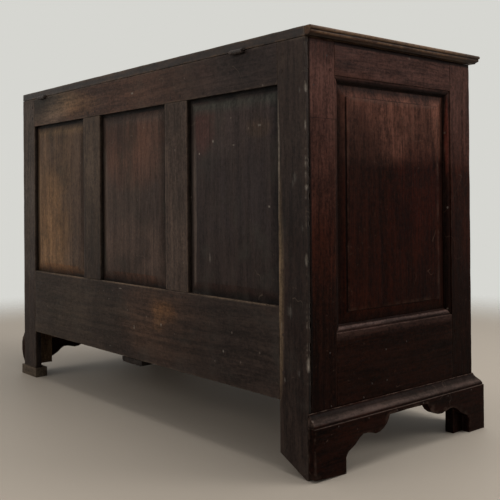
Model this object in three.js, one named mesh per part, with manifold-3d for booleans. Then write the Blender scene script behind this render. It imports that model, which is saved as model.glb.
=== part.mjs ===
// A panelled oak mule chest: a lidded box over two drawers that stand side by side.
// Millimetres, +Z up. The front looks along -Y, and left and right are those of someone facing it.
// The origin is on the floor, at the middle of the whole chest's footprint.
import * as THREE from 'three';
import { mergeVertices } from 'three/addons/utils/BufferGeometryUtils.js';
import Module from 'manifold-3d';

const wasm = await Module();
wasm.setup();

// Driving dimensions of the case
const case_width = 1232;
const case_depth = 524;
const case_height = 829.5;
const side_thickness = 22;
const back_thickness = 19;
const joint_gap = 0.3;
const overrun = 2;

// Joinery shared by the four frames
const tenon_length = 30;
const tenon_shoulder = 12;
const tongue_thickness = 5;
const groove_depth = 8;
const tongue_reach = 7;

// Run moulding worked on the edges round each front and end panel
const moulding_width = 15;
const moulding_depth = 10;
const quirk_width = 2.5;
const quirk_depth = 2.5;
const moulding_toe = 2;
const moulding_steps = 4;

// Fielded panels of the front and the ends
const side_tongue_front = 12;
const field_margin = 23;
const field_step_front = 7;
const field_front = 5;

// Plain panels of the back, bevelled where they enter the frame
const back_tongue_front = 11;
const back_panel_front = 6;
const back_bevel_inset = 3;
const back_bevel_width = 25;

// End frames
const back_edge_shown = 9.5;
const rear_stile_face = 80;
const front_stile_face = 73;
const end_top_rail_face = 66;
const end_bottom_rail_low = 101.5;
const end_opening_low = 265.5;

// Back frame
const back_stile_width = 77;
const back_muntin_width = 87;
const back_top_rail_width = 82;
const back_bottom_rail_low = 137.5;
const back_bottom_rail_high = 318.5;

// Front frame
const corner_stile_width = 73;
const front_muntin_width = 87;
const front_opening_low = 318.5;
const front_top_rail_width = 82;
const front_rail_low = 101.5;
const drawer_opening_low = 150.5;
const drawer_opening_height = 125;
const divider_width = 40;

// Floor of the chest, and the drawers' runners
const floor_low = 295.5;
const floor_thickness = 15;
const floor_tongue = 2.5;
const bearer_width = 91;
const bearer_low = 123.5;
const bearer_chamfer = 5;
const guide_height = 20;
const runner_thickness = 20;
const runner_reach = 32;

// Plinth
const plinth_thickness = 19;
const plinth_face_height = 99.5;
const plinth_height = 125;
const plinth_top_width = 2.5;
const plinth_fillet = 3.5;
const plinth_neck = 2;
const plinth_quirk = 2;
const ogee_sway_share = 0.45;
const plinth_moulding_steps = 4;
const arch_height = 90;
const rear_foot_width = 84;
const front_foot_width = 59;
const rear_bracket_length = 129;
const front_bracket_length = 149;
const bracket_shares = [
  [0, 0.35], [0.05, 0.45], [0.2, 0.56], [0.3, 0.68], [0.38, 0.735], [0.47, 0.735], [0.56, 0.705],
  [0.66, 0.667], [0.76, 0.68], [0.85, 0.735], [0.92, 0.81], [0.97, 0.9], [1, 1],
];

// Block under the far rear foot, the worn corner above it, and the wear at the near rear foot
const block_height = 28;
const block_depth = 37;
const worn_height = 71.5;
const worn_depth = 10;
const chip_height = 36;
const chip_width = 71;
const foot_wear = 5;

// Lid
const lid_gap = 0.5;
const lid_thickness = 19.5;
const lid_overhang = 18;
const right_moulding_short = 14;
const lid_moulding_shares = [
  [0, 0], [0.56, 0], [0.62, 0.12], [0.76, 0.22], [0.86, 0.3], [0.9, 0.42], [0.88, 0.5], [0.84, 0.55],
  [0.96, 0.6], [1, 0.7], [1, 0.84], [0.92, 0.95], [0.72, 1], [0, 1],
];

// Hinges
const hinge_length = 40;
const left_hinge_inset = 195;
const right_hinge_inset = 137;
const leaf_thickness = 2;
const leaf_depth = 14;
const knuckle_radius = 5;
const knuckle_drop = 2;
const hinge_pin_radius = 2.2;
const pin_clearance = 0.3;
const knuckle_count = 3;

// Drawers
const drawer_side_gap = 1;
const drawer_front_gap = 0.75;
const drawer_rear_space = 25;
const drawer_front_thickness = 20;
const drawer_side_thickness = 10;
const drawer_back_thickness = 10;
const drawer_bottom_thickness = 6;
const drawer_bottom_rise = 6;
const drawer_bottom_groove = 4;
const drawer_side_drop = 8;
const drawer_back_drop = 14;
const tail_count = 3;
const tail_length = 12;
const tail_root = 20;
const tail_flare = 3;

// Drawer handles
const post_pitch = 76;
const handle_rise = 8;
const plate_width = 104;
const plate_height = 34;
const plate_thickness = 1.6;
const plate_corner = 12;
const post_radius = 4;
const post_length = 19;
const pivot_reach = 15;
const bail_radius = 2.2;
const bail_swing_gap = 0.4;
const bail_drop = 30;
const bail_steps = 32;
const bail_path_shares = [
  [-0.09, 0], [0, 0], [0.09, 0], [0.14, 0.12], [0.1, 0.42], [0.05, 0.66], [-0.12, 0.9], [-0.3, 0.98],
  [-0.5, 1],
];
const round_sides = 12;
const rod_sides = 8;

// Finishes
const finish = (color, roughness, metalness = 0) => () => new THREE.MeshStandardMaterial({
  color,
  roughness,
  metalness,
});
const back_oak = finish(0x2e2521, 0.7);
const side_oak = finish(0x3a2018, 0.5);
const lid_oak = finish(0x4a3324, 0.5);
const inner_oak = finish(0x6b5136, 0.85);
const iron = finish(0x2b2724, 0.6, 1);
const brass = finish(0x9a7838, 0.4, 1);

// A closed geometry becomes a solid that can be joined and cut.
function solid(geometry) {
  const bare = geometry.index ? geometry.toNonIndexed() : geometry.clone();
  bare.deleteAttribute('normal');
  bare.deleteAttribute('uv');
  const merged = mergeVertices(bare);
  return new wasm.Manifold(new wasm.Mesh({
    numProp: 3,
    vertProperties: new Float32Array(merged.attributes.position.array),
    triVerts: new Uint32Array(merged.index.array),
  }));
}

// A finished solid becomes a named mesh with flat faces.
function piece(name, shape, look) {
  const data = shape.getMesh();
  const geometry = new THREE.BufferGeometry();
  geometry.setAttribute('position', new THREE.BufferAttribute(new Float32Array(data.vertProperties), 3));
  geometry.setIndex(new THREE.BufferAttribute(new Uint32Array(data.triVerts), 1));
  geometry.computeVertexNormals();
  const mesh = new THREE.Mesh(geometry, look());
  mesh.name = name;
  return mesh;
}

// A rectangular board between two limits on each axis.
function board(left, right, front, rear, low, high) {
  const box = new THREE.BoxGeometry(right - left, rear - front, high - low);
  return solid(box.translate((left + right) / 2, (front + rear) / 2, (low + high) / 2));
}

// A solid between rectangles that stand one behind the other, from the front to the rear.
function stepped(rings) {
  const points = [];
  const faces = [];
  for (const ring of rings) {
    points.push(ring.left, ring.at, ring.low, ring.right, ring.at, ring.low);
    points.push(ring.right, ring.at, ring.high, ring.left, ring.at, ring.high);
  }
  for (let ring = 0; ring + 1 < rings.length; ring += 1) {
    for (let corner = 0; corner < 4; corner += 1) {
      const here = 4 * ring + corner;
      const next = 4 * ring + (corner + 1) % 4;
      faces.push(here, next + 4, next, here, here + 4, next + 4);
    }
  }
  const last = 4 * (rings.length - 1);
  faces.push(0, 1, 2, 0, 2, 3, last, last + 2, last + 1, last, last + 3, last + 2);
  const geometry = new THREE.BufferGeometry();
  geometry.setAttribute('position', new THREE.Float32BufferAttribute(points, 3));
  geometry.setIndex(faces);
  return solid(geometry);
}

// A rectangle grown on all sides, standing at one depth.
function ring(area, growth, at) {
  return {
    left: area.left - growth,
    right: area.right + growth,
    low: area.low - growth,
    high: area.high + growth,
    at,
  };
}

// An outline in the X-Z plane, pushed through from the front to the rear.
function pushed_through(points, front, rear) {
  const outline = new THREE.Shape(points.map(([x, z]) => new THREE.Vector2(x, z)));
  const geometry = new THREE.ExtrudeGeometry(outline, { depth: rear - front, bevelEnabled: false });
  return solid(geometry.rotateX(Math.PI / 2).translate(0, rear, 0));
}

// A section in the Y-Z plane, drawn out along X.
function drawn_out(points, left, right) {
  const outline = new THREE.Shape(points.map(([y, z]) => new THREE.Vector2(y, z)));
  const geometry = new THREE.ExtrudeGeometry(outline, { depth: right - left, bevelEnabled: false });
  return solid(geometry.rotateX(Math.PI / 2).rotateZ(Math.PI / 2).translate(left, 0, 0));
}

// A plan outline in the X-Y plane, raised from one height to another.
function raised(points, low, high) {
  const outline = new THREE.Shape(points.map(([x, y]) => new THREE.Vector2(x, y)));
  const geometry = new THREE.ExtrudeGeometry(outline, { depth: high - low, bevelEnabled: false });
  return solid(geometry.translate(0, 0, low));
}

// A round bar along X.
function bar(left, right, y, z, radius) {
  const geometry = new THREE.CylinderGeometry(radius, radius, right - left, round_sides);
  return solid(geometry.rotateZ(Math.PI / 2).translate((left + right) / 2, y, z));
}

// The space that the run moulding leaves round one panel opening.
function moulding_space(opening) {
  const rings = [
    ring(opening, moulding_width, -overrun),
    ring(opening, moulding_width, quirk_depth),
  ];
  const across = moulding_width - quirk_width - moulding_toe;
  const down = moulding_depth - quirk_depth;
  for (let step = 0; step <= moulding_steps; step += 1) {
    const turn = (Math.PI / 2) * (step / moulding_steps);
    const growth = moulding_toe + across * (1 - Math.sin(turn));
    rings.push(ring(opening, growth, moulding_depth - down * Math.cos(turn)));
  }
  rings.push(ring(opening, 0, moulding_depth));
  rings.push(ring(opening, 0, side_thickness + overrun));
  return stepped(rings);
}

// The strip of a member that stands inside an opening's face edge, mitred at both of its ends.
function border_strip(side, opening, inset, thickness) {
  const sight = ring(opening, -inset, 0);
  const upright = (edge, sight_edge, back) => [
    [edge + back, opening.low + joint_gap],
    [edge, opening.low + joint_gap],
    [sight_edge, sight.low + joint_gap],
    [sight_edge, sight.high - joint_gap],
    [edge, opening.high - joint_gap],
    [edge + back, opening.high - joint_gap],
  ];
  const level = (edge, sight_edge, back) => [
    [opening.left + joint_gap, edge + back],
    [opening.left + joint_gap, edge],
    [sight.left + joint_gap, sight_edge],
    [sight.right - joint_gap, sight_edge],
    [opening.right - joint_gap, edge],
    [opening.right - joint_gap, edge + back],
  ];
  const outlines = {
    left: () => upright(opening.left, sight.left, -overrun),
    right: () => upright(opening.right, sight.right, overrun).toReversed(),
    low: () => level(opening.low, sight.low, -overrun).toReversed(),
    high: () => level(opening.high, sight.high, overrun),
  };
  return pushed_through(outlines[side](), 0, thickness);
}

// Tenons reach past both ends of a rail or a muntin.
function tenons_of(member) {
  const { left, right, low, high } = member;
  if (member.tenons === 'sides') {
    const part = { owner: member, low: low + tenon_shoulder, high: high - tenon_shoulder };
    return [
      { ...part, left: left - tenon_length, right: left + overrun },
      { ...part, left: right - overrun, right: right + tenon_length },
    ];
  }
  if (member.tenons === 'ends') {
    const part = { owner: member, left: left + tenon_shoulder, right: right - tenon_shoulder };
    return [
      { ...part, low: low - tenon_length, high: low + overrun },
      { ...part, low: high - overrun, high: high + tenon_length },
    ];
  }
  return [];
}

// Members are mortised for the tenons beside them, and grooved and moulded round every panel.
function joined_frame(frame) {
  const tongue_rear = frame.tongue_front + tongue_thickness;
  const tenons = frame.members.flatMap(tenons_of);
  const meshes = frame.members.map((member) => {
    let shape = board(member.left, member.right, 0, frame.thickness, member.low, member.high);
    for (const [side, opening] of frame.inset > 0 ? member.borders ?? [] : []) {
      shape = shape.add(border_strip(side, opening, frame.inset, frame.thickness));
    }
    for (const tenon of tenons) {
      const grown = tenon.owner === member ? 0 : joint_gap;
      const block = board(
        tenon.left - grown,
        tenon.right + grown,
        frame.tongue_front - grown,
        tongue_rear + grown,
        tenon.low - grown,
        tenon.high + grown,
      );
      shape = tenon.owner === member ? shape.add(block) : shape.subtract(block);
    }
    for (const opening of frame.openings) {
      const groove = ring(opening, groove_depth - frame.inset, 0);
      shape = shape.subtract(board(
        groove.left,
        groove.right,
        frame.tongue_front - joint_gap,
        tongue_rear + joint_gap,
        groove.low,
        groove.high,
      ));
      shape = frame.inset > 0 ? shape.subtract(moulding_space(ring(opening, -frame.inset, 0))) : shape;
    }
    for (const cut of member.cuts ?? []) {
      shape = shape.subtract(cut);
    }
    return piece(member.name, shape, frame.look);
  });
  for (const opening of frame.openings) {
    meshes.push(piece(opening.panel, frame.panel_shape(ring(opening, -frame.inset, 0)), frame.look));
  }
  return meshes;
}

// A panel with a raised field, a small step and a wide bevel down to its tongue.
function fielded_panel(opening) {
  return stepped([
    ring(opening, -field_margin, field_front),
    ring(opening, -field_margin, field_step_front),
    ring(opening, -joint_gap, side_tongue_front),
    ring(opening, tongue_reach, side_tongue_front),
    ring(opening, tongue_reach, side_tongue_front + tongue_thickness),
  ]);
}

// A flat panel whose margins are bevelled down to its tongue.
function bevelled_panel(opening) {
  return stepped([
    ring(opening, -back_bevel_inset - back_bevel_width, back_panel_front),
    ring(opening, -back_bevel_inset, back_tongue_front),
    ring(opening, tongue_reach, back_tongue_front),
    ring(opening, tongue_reach, back_tongue_front + tongue_thickness),
  ]);
}

// Openings of equal width between two stiles, with a muntin between each pair
function row_of_openings(row) {
  const width = (row.right - row.left - (row.panels.length - 1) * row.muntin_width) / row.panels.length;
  const openings = row.panels.map((panel, place) => {
    const left = row.left + place * (width + row.muntin_width);
    return { panel, left, right: left + width, low: row.low, high: row.high };
  });
  const muntins = row.muntins.map((name, place) => ({
    name,
    left: openings[place].right,
    right: openings[place + 1].left,
    low: row.low + joint_gap,
    high: row.high - joint_gap,
    tenons: 'ends',
    borders: [['right', openings[place]], ['left', openings[place + 1]]],
  }));
  return { openings, muntins };
}

// Turns a wall built facing the viewer so that its face looks out of the case.
function placed_wall(meshes, x, y, turn) {
  const wall = new THREE.Group();
  wall.add(...meshes);
  wall.position.set(x, y, 0);
  wall.rotation.z = turn;
  return wall;
}

const half_width = case_width / 2;
const half_depth = case_depth / 2;
const inner_x = half_width - side_thickness;
const inner_front_y = -half_depth + side_thickness;
const inner_back_y = half_depth - back_thickness;
const drawer_opening_top = drawer_opening_low + drawer_opening_height;

// Back frame, with x to the left of someone facing the chest's front
const back_inner_edge = half_width - back_stile_width;
const hinge_y = half_depth + knuckle_radius + joint_gap;
const hinge_z = case_height - knuckle_drop;
const hinge_left_x = -half_width + left_hinge_inset;
const hinge_right_x = half_width - right_hinge_inset;

function hinge_recess(x) {
  return board(
    -x - hinge_length / 2 - joint_gap,
    -x + hinge_length / 2 + joint_gap,
    -overrun,
    leaf_depth + joint_gap,
    case_height - leaf_thickness - joint_gap,
    case_height + overrun,
  );
}

function back_frame() {
  const lap = board(
    inner_x - joint_gap,
    half_width + overrun,
    back_edge_shown,
    back_thickness + overrun,
    -overrun,
    case_height + overrun,
  );
  const row = row_of_openings({
    left: -back_inner_edge,
    right: back_inner_edge,
    low: back_bottom_rail_high,
    high: case_height - back_top_rail_width,
    muntin_width: back_muntin_width,
    muntins: ['back_muntin_right', 'back_muntin_left'],
    panels: ['back_panel_right', 'back_panel_middle', 'back_panel_left'],
  });
  const floor_groove = board(
    -back_inner_edge,
    back_inner_edge,
    back_thickness - floor_tongue - joint_gap,
    back_thickness + overrun,
    floor_low - joint_gap,
    floor_low + floor_thickness + joint_gap,
  );
  const chip = pushed_through([
    [back_inner_edge - overrun, -overrun],
    [back_inner_edge + chip_width, -overrun],
    [back_inner_edge + chip_width, 0],
    [back_inner_edge, chip_height],
    [back_inner_edge - overrun, chip_height],
  ], -overrun, back_thickness + overrun);
  const members = [
    {
      name: 'back_stile_right',
      left: -half_width,
      right: -back_inner_edge,
      low: block_height + joint_gap,
      high: case_height,
      cuts: [lap.mirror([1, 0, 0])],
    },
    {
      name: 'back_stile_left',
      left: back_inner_edge,
      right: half_width,
      low: 0,
      high: case_height,
      cuts: [lap, chip],
    },
    {
      name: 'back_top_rail',
      left: -back_inner_edge + joint_gap,
      right: back_inner_edge - joint_gap,
      low: case_height - back_top_rail_width,
      high: case_height,
      tenons: 'sides',
      cuts: [hinge_recess(hinge_left_x), hinge_recess(hinge_right_x)],
    },
    {
      name: 'back_bottom_rail',
      left: -back_inner_edge + joint_gap,
      right: back_inner_edge - joint_gap,
      low: back_bottom_rail_low,
      high: back_bottom_rail_high,
      tenons: 'sides',
      cuts: [floor_groove],
    },
    ...row.muntins,
  ];
  return placed_wall(joined_frame({
    members,
    openings: row.openings,
    thickness: back_thickness,
    tongue_front: back_tongue_front,
    panel_shape: bevelled_panel,
    inset: 0,
    look: back_oak,
  }), 0, half_depth, Math.PI);
}

// An end frame: its rear is at +x on the right end and at -x on the left end.
function end_frame(side, rear) {
  const rear_limit = half_depth - back_edge_shown - joint_gap;
  const rear_edge = half_depth - rear_stile_face;
  const front_edge = -half_depth + front_stile_face;
  const across = (near_rear, near_front) => ({
    left: Math.min(rear * near_rear, rear * near_front),
    right: Math.max(rear * near_rear, rear * near_front),
  });
  const opening = {
    panel: `${side}_end_panel`,
    ...across(rear_edge, front_edge),
    low: end_opening_low,
    high: case_height - end_top_rail_face,
  };
  const between = across(rear_edge - joint_gap, front_edge + joint_gap);
  const [rear_border, front_border] = rear > 0 ? ['right', 'left'] : ['left', 'right'];
  const members = [
    {
      name: `${side}_end_rear_stile`,
      ...across(rear_limit, rear_edge),
      low: side === 'right' ? block_height + joint_gap : 0,
      high: case_height,
      borders: [[rear_border, opening]],
    },
    {
      name: `${side}_end_front_stile`,
      ...across(front_edge, -half_depth),
      low: 0,
      high: case_height,
      borders: [[front_border, opening]],
    },
    {
      name: `${side}_end_top_rail`,
      ...between,
      low: opening.high,
      high: case_height,
      tenons: 'sides',
      borders: [['high', opening]],
    },
    {
      name: `${side}_end_bottom_rail`,
      ...between,
      low: end_bottom_rail_low,
      high: opening.low,
      tenons: 'sides',
      borders: [['low', opening]],
    },
  ];
  return placed_wall(joined_frame({
    members,
    openings: [opening],
    thickness: side_thickness,
    tongue_front: side_tongue_front,
    panel_shape: fielded_panel,
    inset: moulding_width,
    look: side_oak,
  }), side === 'right' ? half_width : -half_width, 0, rear * Math.PI / 2);
}

// Front frame: three panels over two drawer openings, between the end frames
const front_inner_edge = inner_x - corner_stile_width;

function front_frame() {
  const outer_edge = inner_x - joint_gap;
  const rail_end = front_inner_edge - joint_gap;
  const row = row_of_openings({
    left: -front_inner_edge,
    right: front_inner_edge,
    low: front_opening_low,
    high: case_height - front_top_rail_width,
    muntin_width: front_muntin_width,
    muntins: ['front_muntin_left', 'front_muntin_right'],
    panels: ['front_panel_left', 'front_panel_middle', 'front_panel_right'],
  });
  const floor_groove = board(
    -front_inner_edge,
    front_inner_edge,
    side_thickness - floor_tongue - joint_gap,
    side_thickness + overrun,
    floor_low - joint_gap,
    floor_low + floor_thickness + joint_gap,
  );
  const rail = (name, low, high, borders, cuts = []) => ({
    name,
    left: -rail_end,
    right: rail_end,
    low,
    high,
    tenons: 'sides',
    borders: borders.length ? row.openings.map((opening) => [borders[0], opening]) : [],
    cuts,
  });
  const members = [
    {
      name: 'front_stile_left',
      left: -outer_edge,
      right: -front_inner_edge,
      low: front_rail_low,
      high: case_height,
      borders: [['left', row.openings[0]]],
    },
    {
      name: 'front_stile_right',
      left: front_inner_edge,
      right: outer_edge,
      low: front_rail_low,
      high: case_height,
      borders: [['right', row.openings.at(-1)]],
    },
    rail('front_top_rail', case_height - front_top_rail_width, case_height, ['high']),
    rail('front_middle_rail', drawer_opening_top, front_opening_low, ['low'], [floor_groove]),
    rail('front_bottom_rail', front_rail_low, drawer_opening_low, []),
    {
      name: 'drawer_divider',
      left: -divider_width / 2,
      right: divider_width / 2,
      low: drawer_opening_low + joint_gap,
      high: drawer_opening_top - joint_gap,
      tenons: 'ends',
    },
    ...row.muntins,
  ];
  return placed_wall(joined_frame({
    members,
    openings: row.openings,
    thickness: side_thickness,
    tongue_front: side_tongue_front,
    panel_shape: fielded_panel,
    inset: moulding_width,
    look: side_oak,
  }), 0, -half_depth, 0);
}

// The chest's floor, tongued into the front and back rails
function chest_floor() {
  const low = floor_low;
  const high = floor_low + floor_thickness;
  const front = inner_front_y + joint_gap;
  const rear = inner_back_y - joint_gap;
  const front_tongue_x = front_inner_edge - joint_gap;
  const rear_tongue_x = back_inner_edge - joint_gap;
  const shape = board(-inner_x + joint_gap, inner_x - joint_gap, front, rear, low, high)
    .add(board(-front_tongue_x, front_tongue_x, front - floor_tongue, front + overrun, low, high))
    .add(board(-rear_tongue_x, rear_tongue_x, rear - overrun, rear + floor_tongue, low, high));
  return piece('chest_floor', shape, inner_oak);
}

// The middle bearer carries both drawers, and its rear end is notched under the back rail.
function middle_bearer() {
  const half = bearer_width / 2;
  const front = inner_front_y + joint_gap;
  const rear = inner_back_y - joint_gap;
  const under_rail = back_bottom_rail_low - joint_gap;
  const section = [
    [-half, bearer_low + bearer_chamfer],
    [-half + bearer_chamfer, bearer_low],
    [half - bearer_chamfer, bearer_low],
    [half, bearer_low + bearer_chamfer],
    [half, drawer_opening_low],
    [-half, drawer_opening_low],
  ];
  const notch = board(-half - overrun, half + overrun, rear, half_depth + overrun, under_rail, case_height);
  const guide_half = divider_width / 2;
  const guide_high = drawer_opening_low + guide_height;
  const guide = board(-guide_half, guide_half, front, rear, drawer_opening_low - overrun, guide_high);
  const shape = pushed_through(section, front, half_depth).subtract(notch).add(guide);
  return piece('middle_bearer', shape, inner_oak);
}

// A runner under each drawer's outer side, with a guide strip that keeps the drawer straight
function side_runner(name, side) {
  const front = inner_front_y + joint_gap;
  const rear = inner_back_y - joint_gap;
  const outer = inner_x - joint_gap;
  const guide_face = front_inner_edge;
  const runner = board(
    guide_face - runner_reach,
    outer,
    front,
    rear,
    drawer_opening_low - runner_thickness,
    drawer_opening_low,
  );
  const guide = board(
    guide_face,
    outer,
    front,
    rear,
    drawer_opening_low - overrun,
    drawer_opening_low + guide_height,
  );
  const shape = runner.add(guide);
  return piece(name, side > 0 ? shape : shape.mirror([1, 0, 0]), inner_oak);
}

// The plinth's section: an upright bracket board, an ogee moulding and a narrow neck against the case
function plinth_section() {
  const points = [
    [-joint_gap, 0],
    [-plinth_thickness, 0],
    [-plinth_thickness, plinth_face_height],
    [-plinth_thickness + plinth_quirk, plinth_face_height],
    [-plinth_thickness + plinth_quirk, plinth_face_height + plinth_fillet],
  ];
  const foot = plinth_thickness - plinth_quirk;
  const run = foot - plinth_top_width;
  const rise = plinth_height - plinth_neck - plinth_face_height - plinth_fillet;
  for (let step = 1; step <= 2 * plinth_moulding_steps; step += 1) {
    const share = step / (2 * plinth_moulding_steps);
    const sway = ogee_sway_share * Math.sin(2 * Math.PI * share) / (2 * Math.PI);
    points.push([-foot + run * (share - sway), plinth_face_height + plinth_fillet + rise * share]);
  }
  points.push([-plinth_top_width, plinth_height]);
  points.push([-joint_gap, plinth_height]);
  return points;
}

// The cut-away under a plinth board, between two shaped brackets
function bracket_space(left_foot, left_length, right_foot, right_length) {
  const points = [[left_foot, -overrun]];
  for (const [along, up] of bracket_shares) {
    points.push([left_foot + along * left_length, up * arch_height]);
  }
  for (const [along, up] of bracket_shares.toReversed()) {
    points.push([right_foot - along * right_length, up * arch_height]);
  }
  points.push([right_foot, -overrun]);
  return pushed_through(points, -plinth_thickness - overrun, overrun);
}

// The waste beyond a mitre that starts at the case's corner and runs outwards
function mitre_waste(corner, reach, low, high) {
  const past = reach + overrun;
  const start = corner - joint_gap / 2;
  return raised([
    [start - overrun, overrun],
    [start + past, -past],
    [start + past + overrun, overrun],
  ], low - overrun, high + overrun);
}

function front_plinth() {
  const full = half_width + plinth_thickness;
  const foot = full - rear_foot_width;
  const waste = mitre_waste(half_width, plinth_thickness, 0, plinth_height);
  const shape = drawn_out(plinth_section(), -full, full)
    .subtract(bracket_space(-foot, rear_bracket_length, foot, rear_bracket_length))
    .subtract(waste)
    .subtract(waste.mirror([1, 0, 0]));
  return placed_wall([piece('plinth_front', shape, side_oak)], 0, -half_depth, 0);
}

// An end plinth board is built with its front at +x, then mirrored for the other end.
function end_plinth(side, rear) {
  const full = half_depth + plinth_thickness;
  const rear_foot = -half_depth + rear_foot_width;
  const front_foot = full - front_foot_width;
  let shape = drawn_out(plinth_section(), -half_depth, full)
    .subtract(bracket_space(rear_foot, rear_bracket_length, front_foot, front_bracket_length))
    .subtract(mitre_waste(half_depth, plinth_thickness, 0, plinth_height));
  if (side === 'right') {
    const lost_foot = pushed_through([
      [-half_depth - overrun, -overrun],
      [rear_foot + overrun, -overrun],
      [rear_foot + overrun, block_height + joint_gap],
      [-half_depth + worn_depth, block_height + joint_gap],
      [-half_depth + worn_depth / 3, (block_height + worn_height) / 2],
      [-half_depth, worn_height],
      [-half_depth - overrun, worn_height],
    ], -plinth_thickness - overrun, overrun);
    shape = shape.subtract(lost_foot);
  } else {
    shape = shape.subtract(pushed_through([
      [-half_depth - overrun, -overrun],
      [rear_foot, -overrun],
      [rear_foot, 0],
      [-half_depth, foot_wear],
      [-half_depth - overrun, foot_wear],
    ], -plinth_thickness - overrun, overrun));
  }
  shape = rear > 0 ? shape.mirror([1, 0, 0]) : shape;
  const x = side === 'right' ? half_width : -half_width;
  return placed_wall([piece(`plinth_${side}`, shape, side_oak)], x, 0, rear * Math.PI / 2);
}

// A block under the shortened rear foot on the right
function foot_block() {
  const left = back_inner_edge;
  const right = half_width + plinth_thickness;
  const shape = board(left, right, half_depth - block_depth, half_depth, 0, block_height);
  return piece('rear_foot_block', shape, back_oak);
}

// Lid: one wide board with mouldings on three of its edges
const lid_low = case_height + lid_gap;
const lid_high = lid_low + lid_thickness;

function lid_section() {
  return lid_moulding_shares.map(([out, up]) => [
    -joint_gap - out * (lid_overhang - joint_gap),
    lid_low + up * lid_thickness,
  ]);
}

function lid_board() {
  let shape = board(-half_width, half_width, -half_depth, half_depth, lid_low, lid_high);
  for (const x of [hinge_left_x, hinge_right_x]) {
    shape = shape.subtract(board(
      x - hinge_length / 2 - joint_gap,
      x + hinge_length / 2 + joint_gap,
      half_depth - leaf_depth - joint_gap,
      half_depth + overrun,
      lid_low - overrun,
      lid_low + leaf_thickness + joint_gap,
    ));
  }
  return piece('lid_board', shape, lid_oak);
}

function lid_front_moulding() {
  const full = half_width + lid_overhang;
  const waste = mitre_waste(half_width, lid_overhang, lid_low, lid_high);
  const shape = drawn_out(lid_section(), -full, full)
    .subtract(waste)
    .subtract(waste.mirror([1, 0, 0]));
  return placed_wall([piece('lid_front_moulding', shape, lid_oak)], 0, -half_depth, 0);
}

function lid_end_moulding(side, rear) {
  const rear_end = -half_depth + (side === 'right' ? right_moulding_short : 0);
  let shape = drawn_out(lid_section(), rear_end, half_depth + lid_overhang)
    .subtract(mitre_waste(half_depth, lid_overhang, lid_low, lid_high));
  shape = rear > 0 ? shape.mirror([1, 0, 0]) : shape;
  const x = side === 'right' ? half_width : -half_width;
  return placed_wall([piece(`lid_${side}_moulding`, shape, lid_oak)], x, 0, rear * Math.PI / 2);
}

// Butt hinges: the case leaf holds the outer knuckles and the pin, and the lid leaf the middle knuckle.
function hinge(side, x) {
  const knuckle = hinge_length / knuckle_count;
  const left = x - hinge_length / 2;
  const right = x + hinge_length / 2;
  const middle_left = left + knuckle;
  const middle_right = right - knuckle;
  const leaf_front = half_depth - leaf_depth;
  const case_low = case_height - leaf_thickness;
  let case_leaf = board(left, right, leaf_front, half_depth, case_low, case_height)
    .add(bar(left, right, hinge_y, hinge_z, hinge_pin_radius));
  for (const [from, to] of [[left, middle_left - joint_gap], [middle_right + joint_gap, right]]) {
    case_leaf = case_leaf
      .add(bar(from, to, hinge_y, hinge_z, knuckle_radius))
      .add(board(from, to, half_depth - overrun, hinge_y, case_low, case_height));
  }
  const lid_leaf = board(left, right, leaf_front, half_depth, lid_low, lid_low + leaf_thickness)
    .add(bar(middle_left, middle_right, hinge_y, hinge_z, knuckle_radius))
    .add(board(middle_left, middle_right, half_depth - overrun, hinge_y, lid_low, lid_low + leaf_thickness))
    .subtract(bar(
      middle_left - overrun,
      middle_right + overrun,
      hinge_y,
      hinge_z,
      hinge_pin_radius + pin_clearance,
    ));
  return [
    piece(`${side}_hinge_case_leaf`, case_leaf, iron),
    piece(`${side}_hinge_lid_leaf`, lid_leaf, iron),
  ];
}

// The outline of a drawer side, with dovetails at its front end, grown by a clearance
function side_outline(low, high, grown) {
  const shoulder = -half_depth + drawer_front_thickness;
  const tip = shoulder - tail_length;
  const rear = inner_back_y - drawer_rear_space;
  const pitch = (high - low) / tail_count;
  const points = [[rear, low - grown], [shoulder - grown, low - grown]];
  for (let tail = 0; tail < tail_count; tail += 1) {
    const middle = low + pitch * (tail + 0.5);
    const root = tail_root / 2 + grown;
    points.push([shoulder - grown, middle - root]);
    points.push([tip - grown, middle - root - tail_flare]);
    points.push([tip - grown, middle + root + tail_flare]);
    points.push([shoulder - grown, middle + root]);
  }
  points.push([shoulder - grown, high + grown]);
  points.push([rear, high + grown]);
  return points.toReversed();
}

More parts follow.
